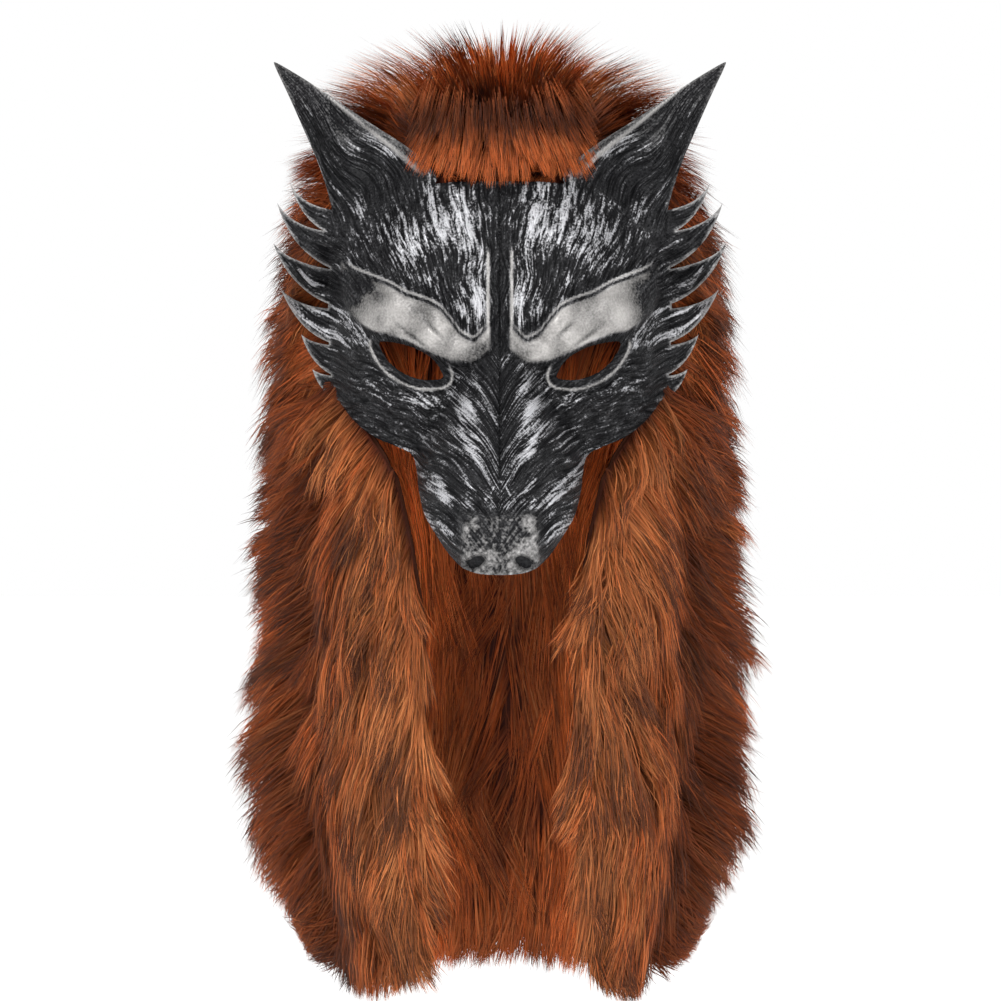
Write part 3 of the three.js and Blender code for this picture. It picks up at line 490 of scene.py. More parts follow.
    silver *= 1 - 0.7 * hump((top + 4.6) / 3.4) * smoothstep(across, 0.1, 0.2)
    plain = np.maximum.reduce([brow, 0.8 * tip_smooth, 0.8 * pad, rim_line, lid, line, 0.8 * edging])
    return relief, np.clip(silver, 0, 1), plain, zones, flow


def place_object(name, data):
    obj = bpy.data.objects.new(name, data)
    bpy.context.scene.collection.objects.link(obj)
    return obj


def flat_mask(solid, eyes):
    """The mask seen from the front, as points and triangles that keep to its outlines."""
    xs, zs = np.arange(-118, 118.1, MASK_STEP), np.arange(-222, 39, MASK_STEP)
    gx, gz = np.meshgrid(xs, zs)
    gx = gx + (np.arange(len(zs)) % 2)[:, None] * MASK_STEP / 2
    grid = np.stack([gx.ravel(), gz.ravel()], 1)
    grid = grid[on_mask(grid, solid, eyes)]
    near = np.min([loop_distance(grid, loop) for loop in solid + eyes], axis=0)
    points, edges = [], []
    for loop in solid + eyes:
        loop = resample(loop, MASK_STEP)
        first = len(points)
        points += [tuple(p) for p in loop]
        edges += [(first + i, first + (i + 1) % len(loop)) for i in range(len(loop))]
    points += [tuple(p) for p in grid[near > MASK_STEP * 0.45]]
    verts, _, faces, *_ = delaunay_2d_cdt([Vector(p) for p in points], edges, [], 0, 1e-4)
    flat = np.array([tuple(v) for v in verts])
    tris = np.array([f for f in faces if len(f) == 3])
    tris = tris[on_mask(flat[tris].mean(axis=1), solid, eyes)]
    a, b, c = (flat[tris[:, i]] for i in range(3))
    turn = (b[:, 0] - a[:, 0]) * (c[:, 1] - a[:, 1]) - (b[:, 1] - a[:, 1]) * (c[:, 0] - a[:, 0])
    tris[turn < 0] = tris[turn < 0][:, ::-1]
    used = np.unique(tris)
    return flat[used], np.searchsorted(used, tris)


def mask_mesh():
    solid, eyes = mask_loops()
    flat, tris = flat_mask(solid, eyes)
    n = len(flat)
    x, z = flat[:, 0], flat[:, 1]
    depth, *parts = mask_depth(x, z)
    h = 0.6
    slope_x = (mask_depth(x + h, z)[0] - mask_depth(x - h, z)[0]) / (2 * h)
    slope_z = (mask_depth(x, z + h)[0] - mask_depth(x, z - h)[0]) / (2 * h)
    wall = SHELL_WALL * np.minimum(3.2, np.sqrt(1 + slope_x ** 2 + slope_z ** 2))
    ways = np.vstack([tris[:, [0, 1]], tris[:, [1, 2]], tris[:, [2, 0]]])
    _, index, counts = np.unique(np.sort(ways, axis=1), axis=0, return_index=True, return_counts=True)
    border = ways[index[counts == 1]]
    on_border = np.zeros(n, bool)
    on_border[border.ravel()] = True
    outline = KDTree(int(on_border.sum()))
    for k, v in enumerate(np.flatnonzero(on_border)):
        outline.insert((x[v], z[v], 0), k)
    outline.balance()
    edge_gap = np.array([outline.find((px, pz, 0))[2] for px, pz in zip(x, z)])
    relief, silver, plain, zones, flow = carving(x, z, eyes[0], edge_gap, *parts)
    front = np.stack([x, -(depth + relief * np.where(on_border, 0.4, 1)), z], 1)
    back = np.stack([x, -(depth - wall), z], 1)
    rims = [(p, p + n, q + n, q) for p, q in border.tolist()]
    faces = tris.tolist() + (tris[:, ::-1] + n).tolist() + rims
    obj = new_object("wolf_mask", np.vstack([front, back]), faces)
    for name, values in (("silver", silver), ("plain", plain)):
        layer = obj.data.attributes.new(name, "FLOAT", "POINT")
        layer.data.foreach_set("value", np.concatenate([values, np.zeros(n)]))
    vectors = [("zones", zones)]
    vectors += [(f"flow_{k}", np.stack([u, v, 40.0 * k + 20 * (x < 0)], 1)) for k, (u, v) in enumerate(flow)]
    for name, values in vectors:
        layer = obj.data.attributes.new(name, "FLOAT_VECTOR", "POINT")
        layer.data.foreach_set("vector", np.vstack([values, np.zeros((n, 3))]).ravel())
    return obj


# The hood

def hood_place(column, down, lift):
    """A point of the hood's smooth form, lifted off it."""
    angle = column / HOOD_COLUMNS * 2 * math.pi
    squared = lambda v: np.sign(v) * np.abs(v) ** (2 / HOOD_SQUARENESS)
    back, front, wide = (read(HOOD_SECTIONS, name, down) for name in ("back", "front", "wide"))
    deep = np.where(np.cos(angle) > 0, back * HOOD_BACK, front * HOOD_FRONT) + lift
    x = (wide * HALF_HOOD + lift) * squared(np.sin(angle))
    return np.stack([x, deep * squared(np.cos(angle)), -down * HOOD_LENGTH], -1)


def fold_rise(column, spread=1):
    turn = np.abs(column) / FRONT_COLUMN
    return sum(r * hump((turn - t) / (s * spread)) for t, s, r in zip(*FOLDS.values()))


def hood_point(column, down):
    """A point of the hood with its folds."""
    return hood_place(column, down, FOLD_DEPTH * smoothstep(down, 0.3, 0.55) * fold_rise(column))


def unit(v):
    return v / np.maximum(np.linalg.norm(v, axis=-1, keepdims=True), 1e-9)


def hood_out(column, down):
    safe = np.clip(down, 0.012, 0.95)
    around = hood_place(column + 0.4, safe, 0) - hood_place(column - 0.4, safe, 0)
    along = hood_place(column, safe + 0.01, 0) - hood_place(column, safe - 0.01, 0)
    out = unit(np.cross(around, along))
    away = hood_place(column, safe, 0)
    away[..., 2] = 20
    flip = np.sum(out * away, -1, keepdims=True) < 0
    return np.where(flip, -out, out)


def crown_out(column, down):
    """The hood's outward direction, which turns to straight up at the crown's middle."""
    near = np.clip(down / CROWN_MIDDLE, 0, 1)[..., None]
    return unit(hood_out(column, np.maximum(down, CROWN_MIDDLE)) * near + np.array([0, 0, 1]) * (1 - near))


def pile_thickness(down):
    return read(PILE_SECTIONS, "crown", down) * CROWN_PILE + read(PILE_SECTIONS, "side", down) * SIDE_PILE


def in_opening(p):
    """True where a point in front of the origin is in the opening for the face or between the panels."""
    down = -p[..., 2] / HOOD_LENGTH
    face = read(FACE_OPENING, "half", down) * HALF_FACE
    gap = read(PANEL_GAP, "half", down) * GAP_WIDTH / 2
    half = np.where(down < FACE_END, face, gap)
    return (p[..., 1] < 0) & (down > FACE_OPENING["down"][0]) & (np.abs(p[..., 0]) < half)


def hem_z(x):
    """The height of the curtain's lower edge, which is higher at the sides."""
    return (np.interp(np.abs(x) / HALF_HOOD, HEM["across"], HEM["up"]) - 1) * HOOD_LENGTH


def new_object(name, verts, faces, smooth=True):
    mesh = bpy.data.meshes.new(name)
    mesh.from_pydata((np.asarray(verts) * MM).tolist(), [], faces)
    mesh.polygons.foreach_set("use_smooth", np.full(len(mesh.polygons), smooth))
    mesh.update()
    return place_object(name, mesh)


def edge_column(down):
    """The column of the hood's front edge at each height: 20 where the front is closed."""
    low, high = np.full(np.shape(down), 9.0), np.full(np.shape(down), FRONT_COLUMN)
    open_here = in_opening(hood_point(high, down))
    for _ in range(14):
        middle = (low + high) / 2
        inside = in_opening(hood_point(middle, down))
        high, low = np.where(inside, middle, high), np.where(inside, low, middle)
    return np.where(open_here, low, FRONT_COLUMN)


def hood_grid(patch, across, rows):
    """Columns and heights of a grid over a patch of the hood that keeps to the hood's front edge and hem."""
    first, last, top, bottom = patch
    share, t = np.meshgrid(np.linspace(0, 1, across), np.asarray(rows))
    down = top + (bottom - top) * t
    for _ in range(4):
        edge = edge_column(down)
        low, high = np.maximum(first, -edge), np.minimum(last, edge)
        col = low + np.maximum(high - low, 0) * share
        hem = -hem_z(hood_point(col, np.minimum(down, 1.1))[..., 0]) / HOOD_LENGTH
        down = top + (np.minimum(bottom, hem) - top) * t
    i, j = np.meshgrid(np.arange(len(rows) - 1), np.arange(across - 1), indexing="ij")
    a = i * across + j
    return col, down, np.stack([a, a + across, a + across + 1, a + 1], -1).reshape(-1, 4)


def hood_cloth():
    """The knitted backing: an outer and an inner face, joined round every edge."""
    rows = np.concatenate([np.linspace(0, 0.078, 9), np.linspace(0.0815, 0.1, 3), np.linspace(0.115, 1, 60)])
    col, down, faces = hood_grid((-20.0, 20.0, 0.004, 1.1), 121, rows)
    outer = hood_point(col, down).reshape(-1, 3)
    inner = outer - hood_out(col, down).reshape(-1, 3) * HOOD_WALL * 0.8
    n = len(outer)
    ways = dict.fromkeys((a, b) for f in faces.tolist() for a, b in zip(f, f[1:] + f[:1]))
    rims = [(b, a, a + n, b + n) for a, b in ways if (b, a) not in ways]
    faces = faces.tolist() + (faces[:, ::-1] + n).tolist() + rims
    return new_object("hood_cloth", np.vstack([outer, inner]), faces)


# The fur

# The dark rust is painted shade deep in the pile, at the strands' roots and on the skin under them.
RUST_IN_SHADE = np.array([0.05, 0.010, 0.004])
RUST = np.array([0.33, 0.066, 0.014])
TAN = np.array([0.42, 0.15, 0.05])
NEAR_BLACK = np.array([0.02, 0.008, 0.006])


def fur_object(name, skin, strands, stations, shade_at):
    """One mesh of a skin grid and of ribbon strands that end in a point."""
    root, bend, tip, normal, width, shade, tan, dark, wave = strands
    count, per = len(root), 2 * stations - 1
    rng = np.random.default_rng(len(name) + count)
    phase = rng.random(count) * 6.28
    across = unit(np.cross(tip - root, normal))
    spin = rng.normal(0, 0.35, count)[:, None]
    across = unit(across * np.cos(spin) + normal * np.sin(spin))
    points, colours = np.zeros((count, per, 3)), np.ones((count, per, 4))
    stops = np.linspace(0, 1, stations)
    for k, s in enumerate(stops):
        p = (1 - s) ** 2 * root + 2 * s * (1 - s) * bend + s * s * tip
        p = p + across * (np.sin(phase + s * 4.2) * wave * s)[:, None]
        side = across * (width * (1 - s ** 2.5))[:, None] / 2
        # Towards its root each strand is painted darker: painted shade deep in the pile.
        lit = min(1, s * 2.2)
        local = shade_at(p)[:, None]
        colour = (RUST_IN_SHADE * (1 - lit) + RUST * lit) * (0.3 + 1.0 * shade[:, None]) * local
        pale = np.clip(tan * lit, 0, 1)[:, None]
        colour = colour * (1 - pale) + TAN * (0.3 + 0.9 * shade[:, None]) * local * pale
        black = np.clip(dark * max(0, (s - 0.35) / 0.45), 0, 1)[:, None]
        colour = colour * (1 - black) + NEAR_BLACK * black
        points[:, 2 * k], colours[:, 2 * k, :3] = p - side, colour
        if k < stations - 1:
            points[:, 2 * k + 1], colours[:, 2 * k + 1, :3] = p + side, colour
    skin_points, skin_faces, skin_colours = skin
    base = len(skin_points)
    corners = [v for k in range(stations - 2) for v in (2 * k, 2 * k + 1, 2 * k + 3, 2 * k + 2)]
    corners = np.array(corners + [per - 3, per - 2, per - 1])
    first = base + np.arange(count)[:, None] * per
    loops = np.concatenate([np.array(skin_faces).ravel(), (first + corners[None]).ravel()])
    sizes = np.concatenate([np.full(len(skin_faces), 4), np.tile([4] * (stations - 2) + [3], count)])
    starts = np.concatenate([[0], np.cumsum(sizes)[:-1]])
    mesh = bpy.data.meshes.new(name)
    mesh.vertices.add(base + count * per)
    mesh.vertices.foreach_set("co", (np.vstack([skin_points, points.reshape(-1, 3)]) * MM).ravel())
    mesh.loops.add(len(loops))
    mesh.loops.foreach_set("vertex_index", loops.astype(np.int32))
    mesh.polygons.add(len(sizes))
    mesh.polygons.foreach_set("loop_start", starts.astype(np.int32))
    mesh.polygons.foreach_set("use_smooth", np.ones(len(sizes), bool))
    mesh.update(calc_edges=True)
    tint = mesh.attributes.new("tint", "FLOAT_COLOR", "POINT")
    tint.data.foreach_set("color", np.vstack([skin_colours, colours.reshape(-1, 4)]).ravel())
    uv = mesh.uv_layers.new(name="OFBake")
    u = np.concatenate([np.full(base, 0.5), np.repeat(rng.random(count), per)])
    v = np.concatenate([np.zeros(base), np.tile(np.repeat(stops, 2)[:per], count)])
    uv.data.foreach_set("uv", np.stack([u[loops], v[loops]], 1).ravel())
    soft = unit(normal * 0.8 + across * rng.normal(0, 0.35, (count, 1)) + unit(tip - root) * 0.15)
    custom = np.vstack([np.zeros((base, 3)), np.repeat(soft, per, axis=0)])
    mesh.normals_split_custom_set_from_vertices(custom.tolist())
    return place_object(name, mesh)


def fur_skin(grid, place):
    """A plain surface under the strands, coloured with painted shade: the dark rust deep in the pile."""
    col, down, faces = grid
    verts = place(col, down).reshape(-1, 3)
    push_behind_mask(verts, 6.0, 12.0)
    colour = np.ones((len(verts), 4))
    colour[:, :3] = RUST_IN_SHADE
    return verts, faces, colour


def clumps(column, down, wide, tall, seed):
    """Six random numbers of each strand's clump, and where that clump's middle is."""
    warp = noise2(column * 0.9 + 50, down * 30, seed) - 0.5
    warp2 = noise2(column * 0.7 + 90, down * 24, seed + 1) - 0.5
    cx = np.floor(column / wide + warp * 1.3)
    cy = np.floor(down / tall + warp2 * 1.3 + (cx % 2) * 0.5)
    key = (cx * 7919 + cy * 104729).astype(np.int64)
    table = np.random.default_rng(seed).random((4096, 6))
    pick = table[np.abs(key) % 4096]
    mid_c = (cx + 0.5 + (pick[:, 0] - 0.5) * 0.7 - warp * 1.3) * wide
    mid_d = (cy + 0.5 - (cx % 2) * 0.5 + (pick[:, 1] - 0.5) * 0.7 - warp2 * 1.3) * tall
    return pick, mid_c, mid_d


def pile_strands(count, patch, length, seed, lean, tan_of, dark_of, drop, inside=False, clump=(0.8, 0.045),
                 flick=1.0, tone=1.0, hug=None):
    """Strands that lie over the hood, each from its root to a tip further down, in pointed tufts.

    For each strand: root, bend, tip, outward direction, width, shade, tan, dark and waviness.
    With hug, the strands start along the front edge on that side.
    """
    rng = np.random.default_rng(seed)
    more = int(count * 1.5)
    column = patch[0] + rng.random(more) * (patch[1] - patch[0])
    down = patch[2] + rng.random(more) * (patch[3] - patch[2])
    if hug:
        column = hug * (edge_column(down) - 0.03 - 0.8 * rng.random(more) ** 2)
    p = hood_point(column, down)
    keep = ~drop(p) & (p[:, 2] > hem_z(p[:, 0]) + 1)
    column, down = column[keep][:count], down[keep][:count]
    n = len(column)
    pick, mid_c, mid_d = clumps(column, down, *clump, seed + 100)
    thick = np.where(inside, INNER_PILE, pile_thickness(down))
    sign, wall = (-1, HOOD_WALL) if inside else (1, 0)
    guard = rng.random(n) < 0.035
    lengths = length * (0.75 + 0.4 * rng.random(n)) * (0.75 + 0.5 * pick[:, 2]) * np.where(guard, 1.3, 1)
    big = noise2(column * 0.5 + 20, down * 9 + 3, seed + 5) - 0.5
    sway = lean(column, down) + (pick[:, 3] - 0.5) * 1.3 + big * 1.4
    out = hood_out(column, down) * sign
    root = hood_point(column, down) + out * (wall + thick * 0.1)[:, None]
    start_c = column + (mid_c - column) * 0.6
    start_d = down + (mid_d - down) * 0.6
    slant = lengths / np.hypot(1, sway * 0.55)
    tip_c = start_c + sway * slant / 42 + rng.normal(0, 0.13, n)
    tip_d = start_d + slant / HOOD_LENGTH * 0.95 + rng.normal(0, 0.006, n)
    under = np.clip(tip_d, 0, 1.0)
    tip_out = hood_out(tip_c, np.clip(tip_d, 0.02, 0.95)) * sign
    tip_thick = np.where(inside, INNER_PILE, pile_thickness(under))
    lift = (0.55 + 0.5 * pick[:, 4] * flick + 0.13 * rng.normal(0, 1, n)) + 0.25 * guard * flick
    tip = hood_point(tip_c, under) + tip_out * (wall + tip_thick * np.clip(lift, 0.25, 1.4))[:, None]
    tip[:, 2] -= np.maximum(0, tip_d - 1.0) * HOOD_LENGTH
    tip[:, 2] = np.maximum(tip[:, 2], hem_z(tip[:, 0]) - HEM_DROP + 10 * rng.random(n))
    bend = root * 0.5 + tip * 0.5 + out * (thick * (0.22 + 0.3 * pick[:, 4]))[:, None]
    shade = np.clip(0.62 + 0.45 * (pick[:, 5] - 0.5) + 0.2 * rng.normal(0, 1, n) + big * 0.4, 0.0, 1.3)
    # Strands in the folds' hollows are painted darker and those on the ridges a little lighter: painted
    # shade.
    shade *= 1 + 0.75 * smoothstep(down, 0.28, 0.42) * np.clip(fold_rise(column, 1.15) * sign, -1.25, 0.25)
    shade *= tone
    tan = np.clip(tan_of(column, down) + 0.2 * rng.normal(0, 1, n) + 0.3 * (pick[:, 2] - 0.5), 0, 1)
    tufted = pick[:, 1] < dark_of(column, down)
    dark = np.where(rng.random(n) < np.where(tufted, 0.75, 0.24), 0.97, 0.0)
    dark = np.where(guard, 1.0, dark)
    wide = 0.66 * (0.7 + 0.6 * rng.random(n)) * np.where(guard, 0.5, 1)
    return root, bend, tip, out, wide, shade, tan, dark, 1.3 * rng.random(n)


def no_drop(p):
    return np.zeros(p.shape[:-1], bool)


def even(value):
    return lambda column, down: value + 0 * column


def edge_tan(column, down):
    return 0.2 + 0.45 * smoothstep(np.abs(column), 15.0, 17.2)


def outline_dark(column, down):
    """More dark tips where the sides turn away from the front."""
    return 0.34 + 0.3 * hump((np.abs(column) - 9.5) / 3)


def side_lean(column, down):
    """Hair on the sides sweeps back, away from the face."""
    return -np.sign(column) * (0.9 + 1.3 * smoothstep(np.abs(column), 6.5, 10) + 0.3 * np.sin(down * 17))


def front_lean(column, down):
    """Hair of the front panels sweeps back at the top and falls nearly straight below."""
    back = 0.25 + 1.5 * (1 - smoothstep(down, 0.36, 0.56))
    return -np.sign(column) * (back + 0.25 * np.sin(down * 23 + column))


def rim_lean(column, down):
    """Hair along the front edges falls down and in over the edge."""
    return np.sign(column) * (0.22 - 0.5 * (1 - smoothstep(down, 0.36, 0.44)))


def inner_lean(column, down):
    """Hair inside the back hangs down with a slight sway."""
    return np.sign(column) * 0.3 * np.sin(down * 13)


def skin_of(patch, inside=False):
    sign = -1 if inside else 1

    def place(col, down):
        thick = np.where(inside, INNER_PILE * SKIN_SHARE + HOOD_WALL, pile_thickness(down) * SKIN_SHARE)
        ripple = 1 + 0.25 * (noise2(col * 1.6, down * 26, 77) - 0.5)
        return hood_point(col, down) + hood_out(col, down) * sign * (thick * ripple)[..., None]

    return fur_skin(hood_grid((*patch[:3], 1.04), 33, np.linspace(0, 1, 61)), place)


# Patches of pile: first and last column, and how far down the hood they start and end.
BACK = (-6.1, 6.1, 0.1, 1.0)
SIDE = (6.0, 14.1, 0.09, 1.0)
FRONT = (13.9, 20.0, 0.1, 1.0)
INNER = (-10.0, 10.0, 0.22, 1.0)
AROUND_FACE = (11.3, 14.1, 0.11, 0.5)


def push_behind_mask(p, margin, ear_margin):
    """Moves points that would come through the mask's wall from behind back behind it."""
    away, z = np.abs(p[:, 0]), p[:, 2]
    down = (-z - FACE_TOP) / FACE_HEIGHT
    half = read(FACE_SECTIONS, "wide", down) * HALF_FACE
    along, off = ear_place(away, z)
    on_ear = (along > -0.1) & (along < 1) & (np.abs(off) < 1.1 * (ear_half(along, off) + 1))
    on_tuft = (away < HALF_FACE * 0.93 + TUFT_REACH) & (down > 0) & (down < 0.56)
    behind = ((down > -0.02) & (down < 1.02) & (away < half + 2)) | on_ear | on_tuft
    depth = mask_depth(np.minimum(away, 118), z)[0] - np.where(on_ear, ear_margin, margin)
    p[:, 1] = np.where(behind, np.maximum(p[:, 1], -depth), p[:, 1])


def clear_of_mask(strands):
    """The strands with their points behind the mask, less those whose curve still comes through it."""
    root, bend, tip = strands[:3]
    for p, margin in ((root, 6.5), (bend, 6.0), (tip, 5.0)):
        push_behind_mask(p, margin, margin + 10)
    keep = np.ones(len(root), bool)
    for t in (0.3, 0.5, 0.7, 0.88):
        p = (1 - t) ** 2 * root + 2 * t * (1 - t) * bend + t * t * tip
        pushed = p.copy()
        push_behind_mask(pushed, 3.0, 3.0)
        keep &= pushed[:, 1] - p[:, 1] < 0.01
    return tuple(part[keep] for part in strands)


def crown_strands(n, seed):
    """Strands that fan out from the middle of the crown, up at the top and down to the fringe below."""
    rng = np.random.default_rng(seed)
    column = (rng.random(n) - 0.5) * HOOD_COLUMNS
    ring = rng.random(n) ** 0.6
    down = CROWN_EDGE * ring ** 2.0 + 0.0005
    pick, mid_c, mid_d = clumps(column, ring, 1.1, 0.13, seed + 100)
    out = crown_out(column, down)
    thick = pile_thickness(down)
    root = hood_point(column, down) + out * (thick * 0.12)[:, None]
    guard = rng.random(n) < 0.03
    length = 34 * (0.75 + 0.4 * rng.random(n)) * (0.75 + 0.5 * pick[:, 2])
    tip_ring = ring + length / 120 + (mid_d - ring) * 0.5
    tip_down = CROWN_EDGE * np.where(tip_ring < 1, np.clip(tip_ring, 0, 1) ** 2, 1 + (tip_ring - 1) * 2)
    tip_c = column + (mid_c - column) * 0.6 + rng.normal(0, 0.12, n) + (pick[:, 3] - 0.5) * 0.9
    top = 1 - smoothstep(tip_down, 0.035, CROWN_EDGE)
    lift = 0.62 + 0.48 * top + (0.5 - 0.24 * top) * pick[:, 4]
    lift = np.clip(lift + 0.09 * rng.normal(0, 1, n), 0.4, 1.42)
    lift += 0.16 * guard * top
    lifted = crown_out(tip_c, tip_down) * (pile_thickness(tip_down) * lift)[:, None]
    tip = hood_point(tip_c, tip_down) + lifted
    # In front the pile ends in a fringe at the top of the forehead.
    front = smoothstep(-tip[:, 1], 40, 62) * (1 - smoothstep(np.abs(tip[:, 0]), 66, 84))
    lowest = -22 - 5 * pick[:, 2] + 0.08 * np.abs(tip[:, 0]) + 4 * rng.random(n)
    tip[:, 2] += np.maximum(0, lowest - tip[:, 2]) * front
    foremost = -97 + 0.012 * tip[:, 0] ** 2 + 0.4 * np.maximum(0, tip[:, 2] + 20) - 5 * pick[:, 4]
    tip[:, 1] = np.where(front > 0.1, np.maximum(tip[:, 1], foremost), tip[:, 1])
    bend = root * 0.45 + tip * 0.55 + out * (thick * (0.3 - 0.2 * front))[:, None]
    height = tip[:, 2]
    middle = hump((height - 6) / 22)
    tan = 0.95 * smoothstep(height, 14, 34) - 0.2 * middle + 0.5 * (pick[:, 2] - 0.5)
    tan = np.clip(tan + 0.2 * rng.normal(0, 1, n), 0, 1)
    streaky = 0.1 + 0.2 * smoothstep(height, 0, 30) + 0.25 * hump((tip[:, 0] + 18) / 14)
    dark = np.where(rng.random(n) < np.where(pick[:, 1] < streaky, 0.85, 0.12), 0.95, 0.0)
    dark = np.where(guard, 1.0, dark)
    shade = 0.72 - 0.3 * middle + 0.65 * smoothstep(height, 14, 36)
    shade = np.clip(shade + 0.5 * (pick[:, 5] - 0.5) + 0.2 * rng.normal(0, 1, n), 0.0, 1.8)
    wide = 0.64 * (0.7 + 0.6 * rng.random(n)) * np.where(guard, 0.5, 1)
    return root, bend, tip, out, wide, shade, tan, dark, 1.2 * rng.random(n)


def fringe_strands(n, seed):
    """Strands of the crown's front edge that puff out over the top of the forehead."""
    rng = np.random.default_rng(seed)
    x = (rng.random(n) - 0.5) * 2 * FRINGE_HALF
    high = rng.random(n) ** 1.4
    edge = np.floor(x / 6 + 0.8 * noise2(x / 9 + 30, high * 4, 5))
    row = np.floor(high * 4 + noise2(x / 7 + 30, high, 6))
    table = np.random.default_rng(seed + 9).random((64, 8))
    jitter = table[(edge.astype(int) + 20) % 64, row.astype(int) % 8]
    tip_x = (x + ((edge + 0.5) * 6 - x) * 0.5) * 1.08 + (jitter - 0.5) * 6 + rng.normal(0, 1, n)
    tip_z = FRINGE_LOW + 30 * high + 5 * jitter + 4 * rng.random(n) + 0.16 * np.abs(x)
    tip_y = FRINGE_FRONT + 0.012 * x ** 2 - 2 * rng.random(n) - 2 * jitter + 16 * high
    tip = np.stack([tip_x, tip_y, tip_z], 1)
    start_z = tip_z + 15 + (5 + 9 * high) * rng.random(n)
    start = np.stack([x * 0.84, -82 + 0.01 * x ** 2 + 36 * high, start_z], 1)
    bend = start * 0.5 + tip * 0.5 + np.array([0, -5, 3])
    out = unit(np.stack([x * 0.01, np.full(n, -1.0), np.full(n, 0.35)], 1))
    shade = np.clip(0.95 + 0.2 * rng.normal(0, 1, n) + 0.5 * (jitter - 0.5) - 0.5 * high, 0.1, 1.3)
    tan = np.clip(0.2 * rng.normal(0, 1, n) + 0.12, 0, 1)
    dark = np.where(rng.random(n) < 0.12 + 0.15 * high, 0.9, 0.0)
    return start, bend, tip, out, 0.58 * (0.7 + 0.6 * rng.random(n)), shade, tan, dark, 0.8 * rng.random(n)


def crown_place(col, down):
    return hood_point(col, down) + crown_out(col, down) * (pile_thickness(down) * 0.14)[..., None]


def evenly(p):
    return np.ones(len(p))


def crown_shade(p):
    """The crown's front is darkest between its pale top and its bright fringe."""
    front = smoothstep(-p[:, 1], 30, 60) * (1 - smoothstep(np.abs(p[:, 0]), 60, 80))
    return 1 - front * (0.62 * hump((p[:, 2] - 6) / 21) + 0.14 - 0.5 * smoothstep(p[:, 2], 14, 34))


def side_shade(p):
    """The sides are darkest beside the ears."""
    return 1 - 0.4 * smoothstep(p[:, 2], -80, -25)


def together(*groups):
    return tuple(np.concatenate(parts) for parts in zip(*groups))


# Materials

def plug(tree, node, inputs):
    """Sets a node's inputs, or links those whose value is another node's output."""
    for name, value in inputs.items():
        if isinstance(value, bpy.types.NodeSocket):
            tree.links.new(value, node.inputs[name])
        else:
            node.inputs[name].default_value = value


def add_node(tree, kind, output, inputs={}, **settings):
    """The named output of a new shader node."""
    node = tree.nodes.new("ShaderNode" + kind)
    for name, value in settings.items():
        setattr(node, name, value)
    plug(tree, node, inputs)
    return node.outputs[output]


def new_material(name):
    made = bpy.data.materials.new(name)
    made.use_nodes = True
    return made, made.node_tree, made.node_tree.nodes["Principled BSDF"]


def fur_material():
    made, tree, shader = new_material("faux_fur")
    noise = add_node(tree, "TexNoise", "Fac", {"Scale": 55, "Detail": 3})
    uneven = add_node(tree, "MapRange", "Result", {"Value": noise, "To Min": 0.72, "To Max": 1.25})
    tint = add_node(tree, "Attribute", "Color", attribute_name="tint")
    colour = add_node(tree, "VectorMath", "Vector", {0: tint, "Scale": uneven}, operation="SCALE")
    plug(tree, shader, {"Base Color": colour, "Roughness": 0.6, "Specular IOR Level": 0.12})
    return made


def cloth_material():
    made, tree, shader = new_material("knitted_backing")
    wave = add_node(tree, "TexWave", "Fac", {"Scale": 160, "Distortion": 1.5})
    ends = {"Factor": wave, "A": (0.03, 0.01, 0.006, 1), "B": (0.08, 0.026, 0.014, 1)}
    colour = add_node(tree, "Mix", "Result", ends, data_type="RGBA")
    bump = add_node(tree, "Bump", "Normal", {"Height": wave, "Strength": 0.4, "Distance": 0.0006})
    plug(tree, shader, {"Base Color": colour, "Normal": bump, "Roughness": 0.95, "Specular IOR Level": 0.05})
    return made


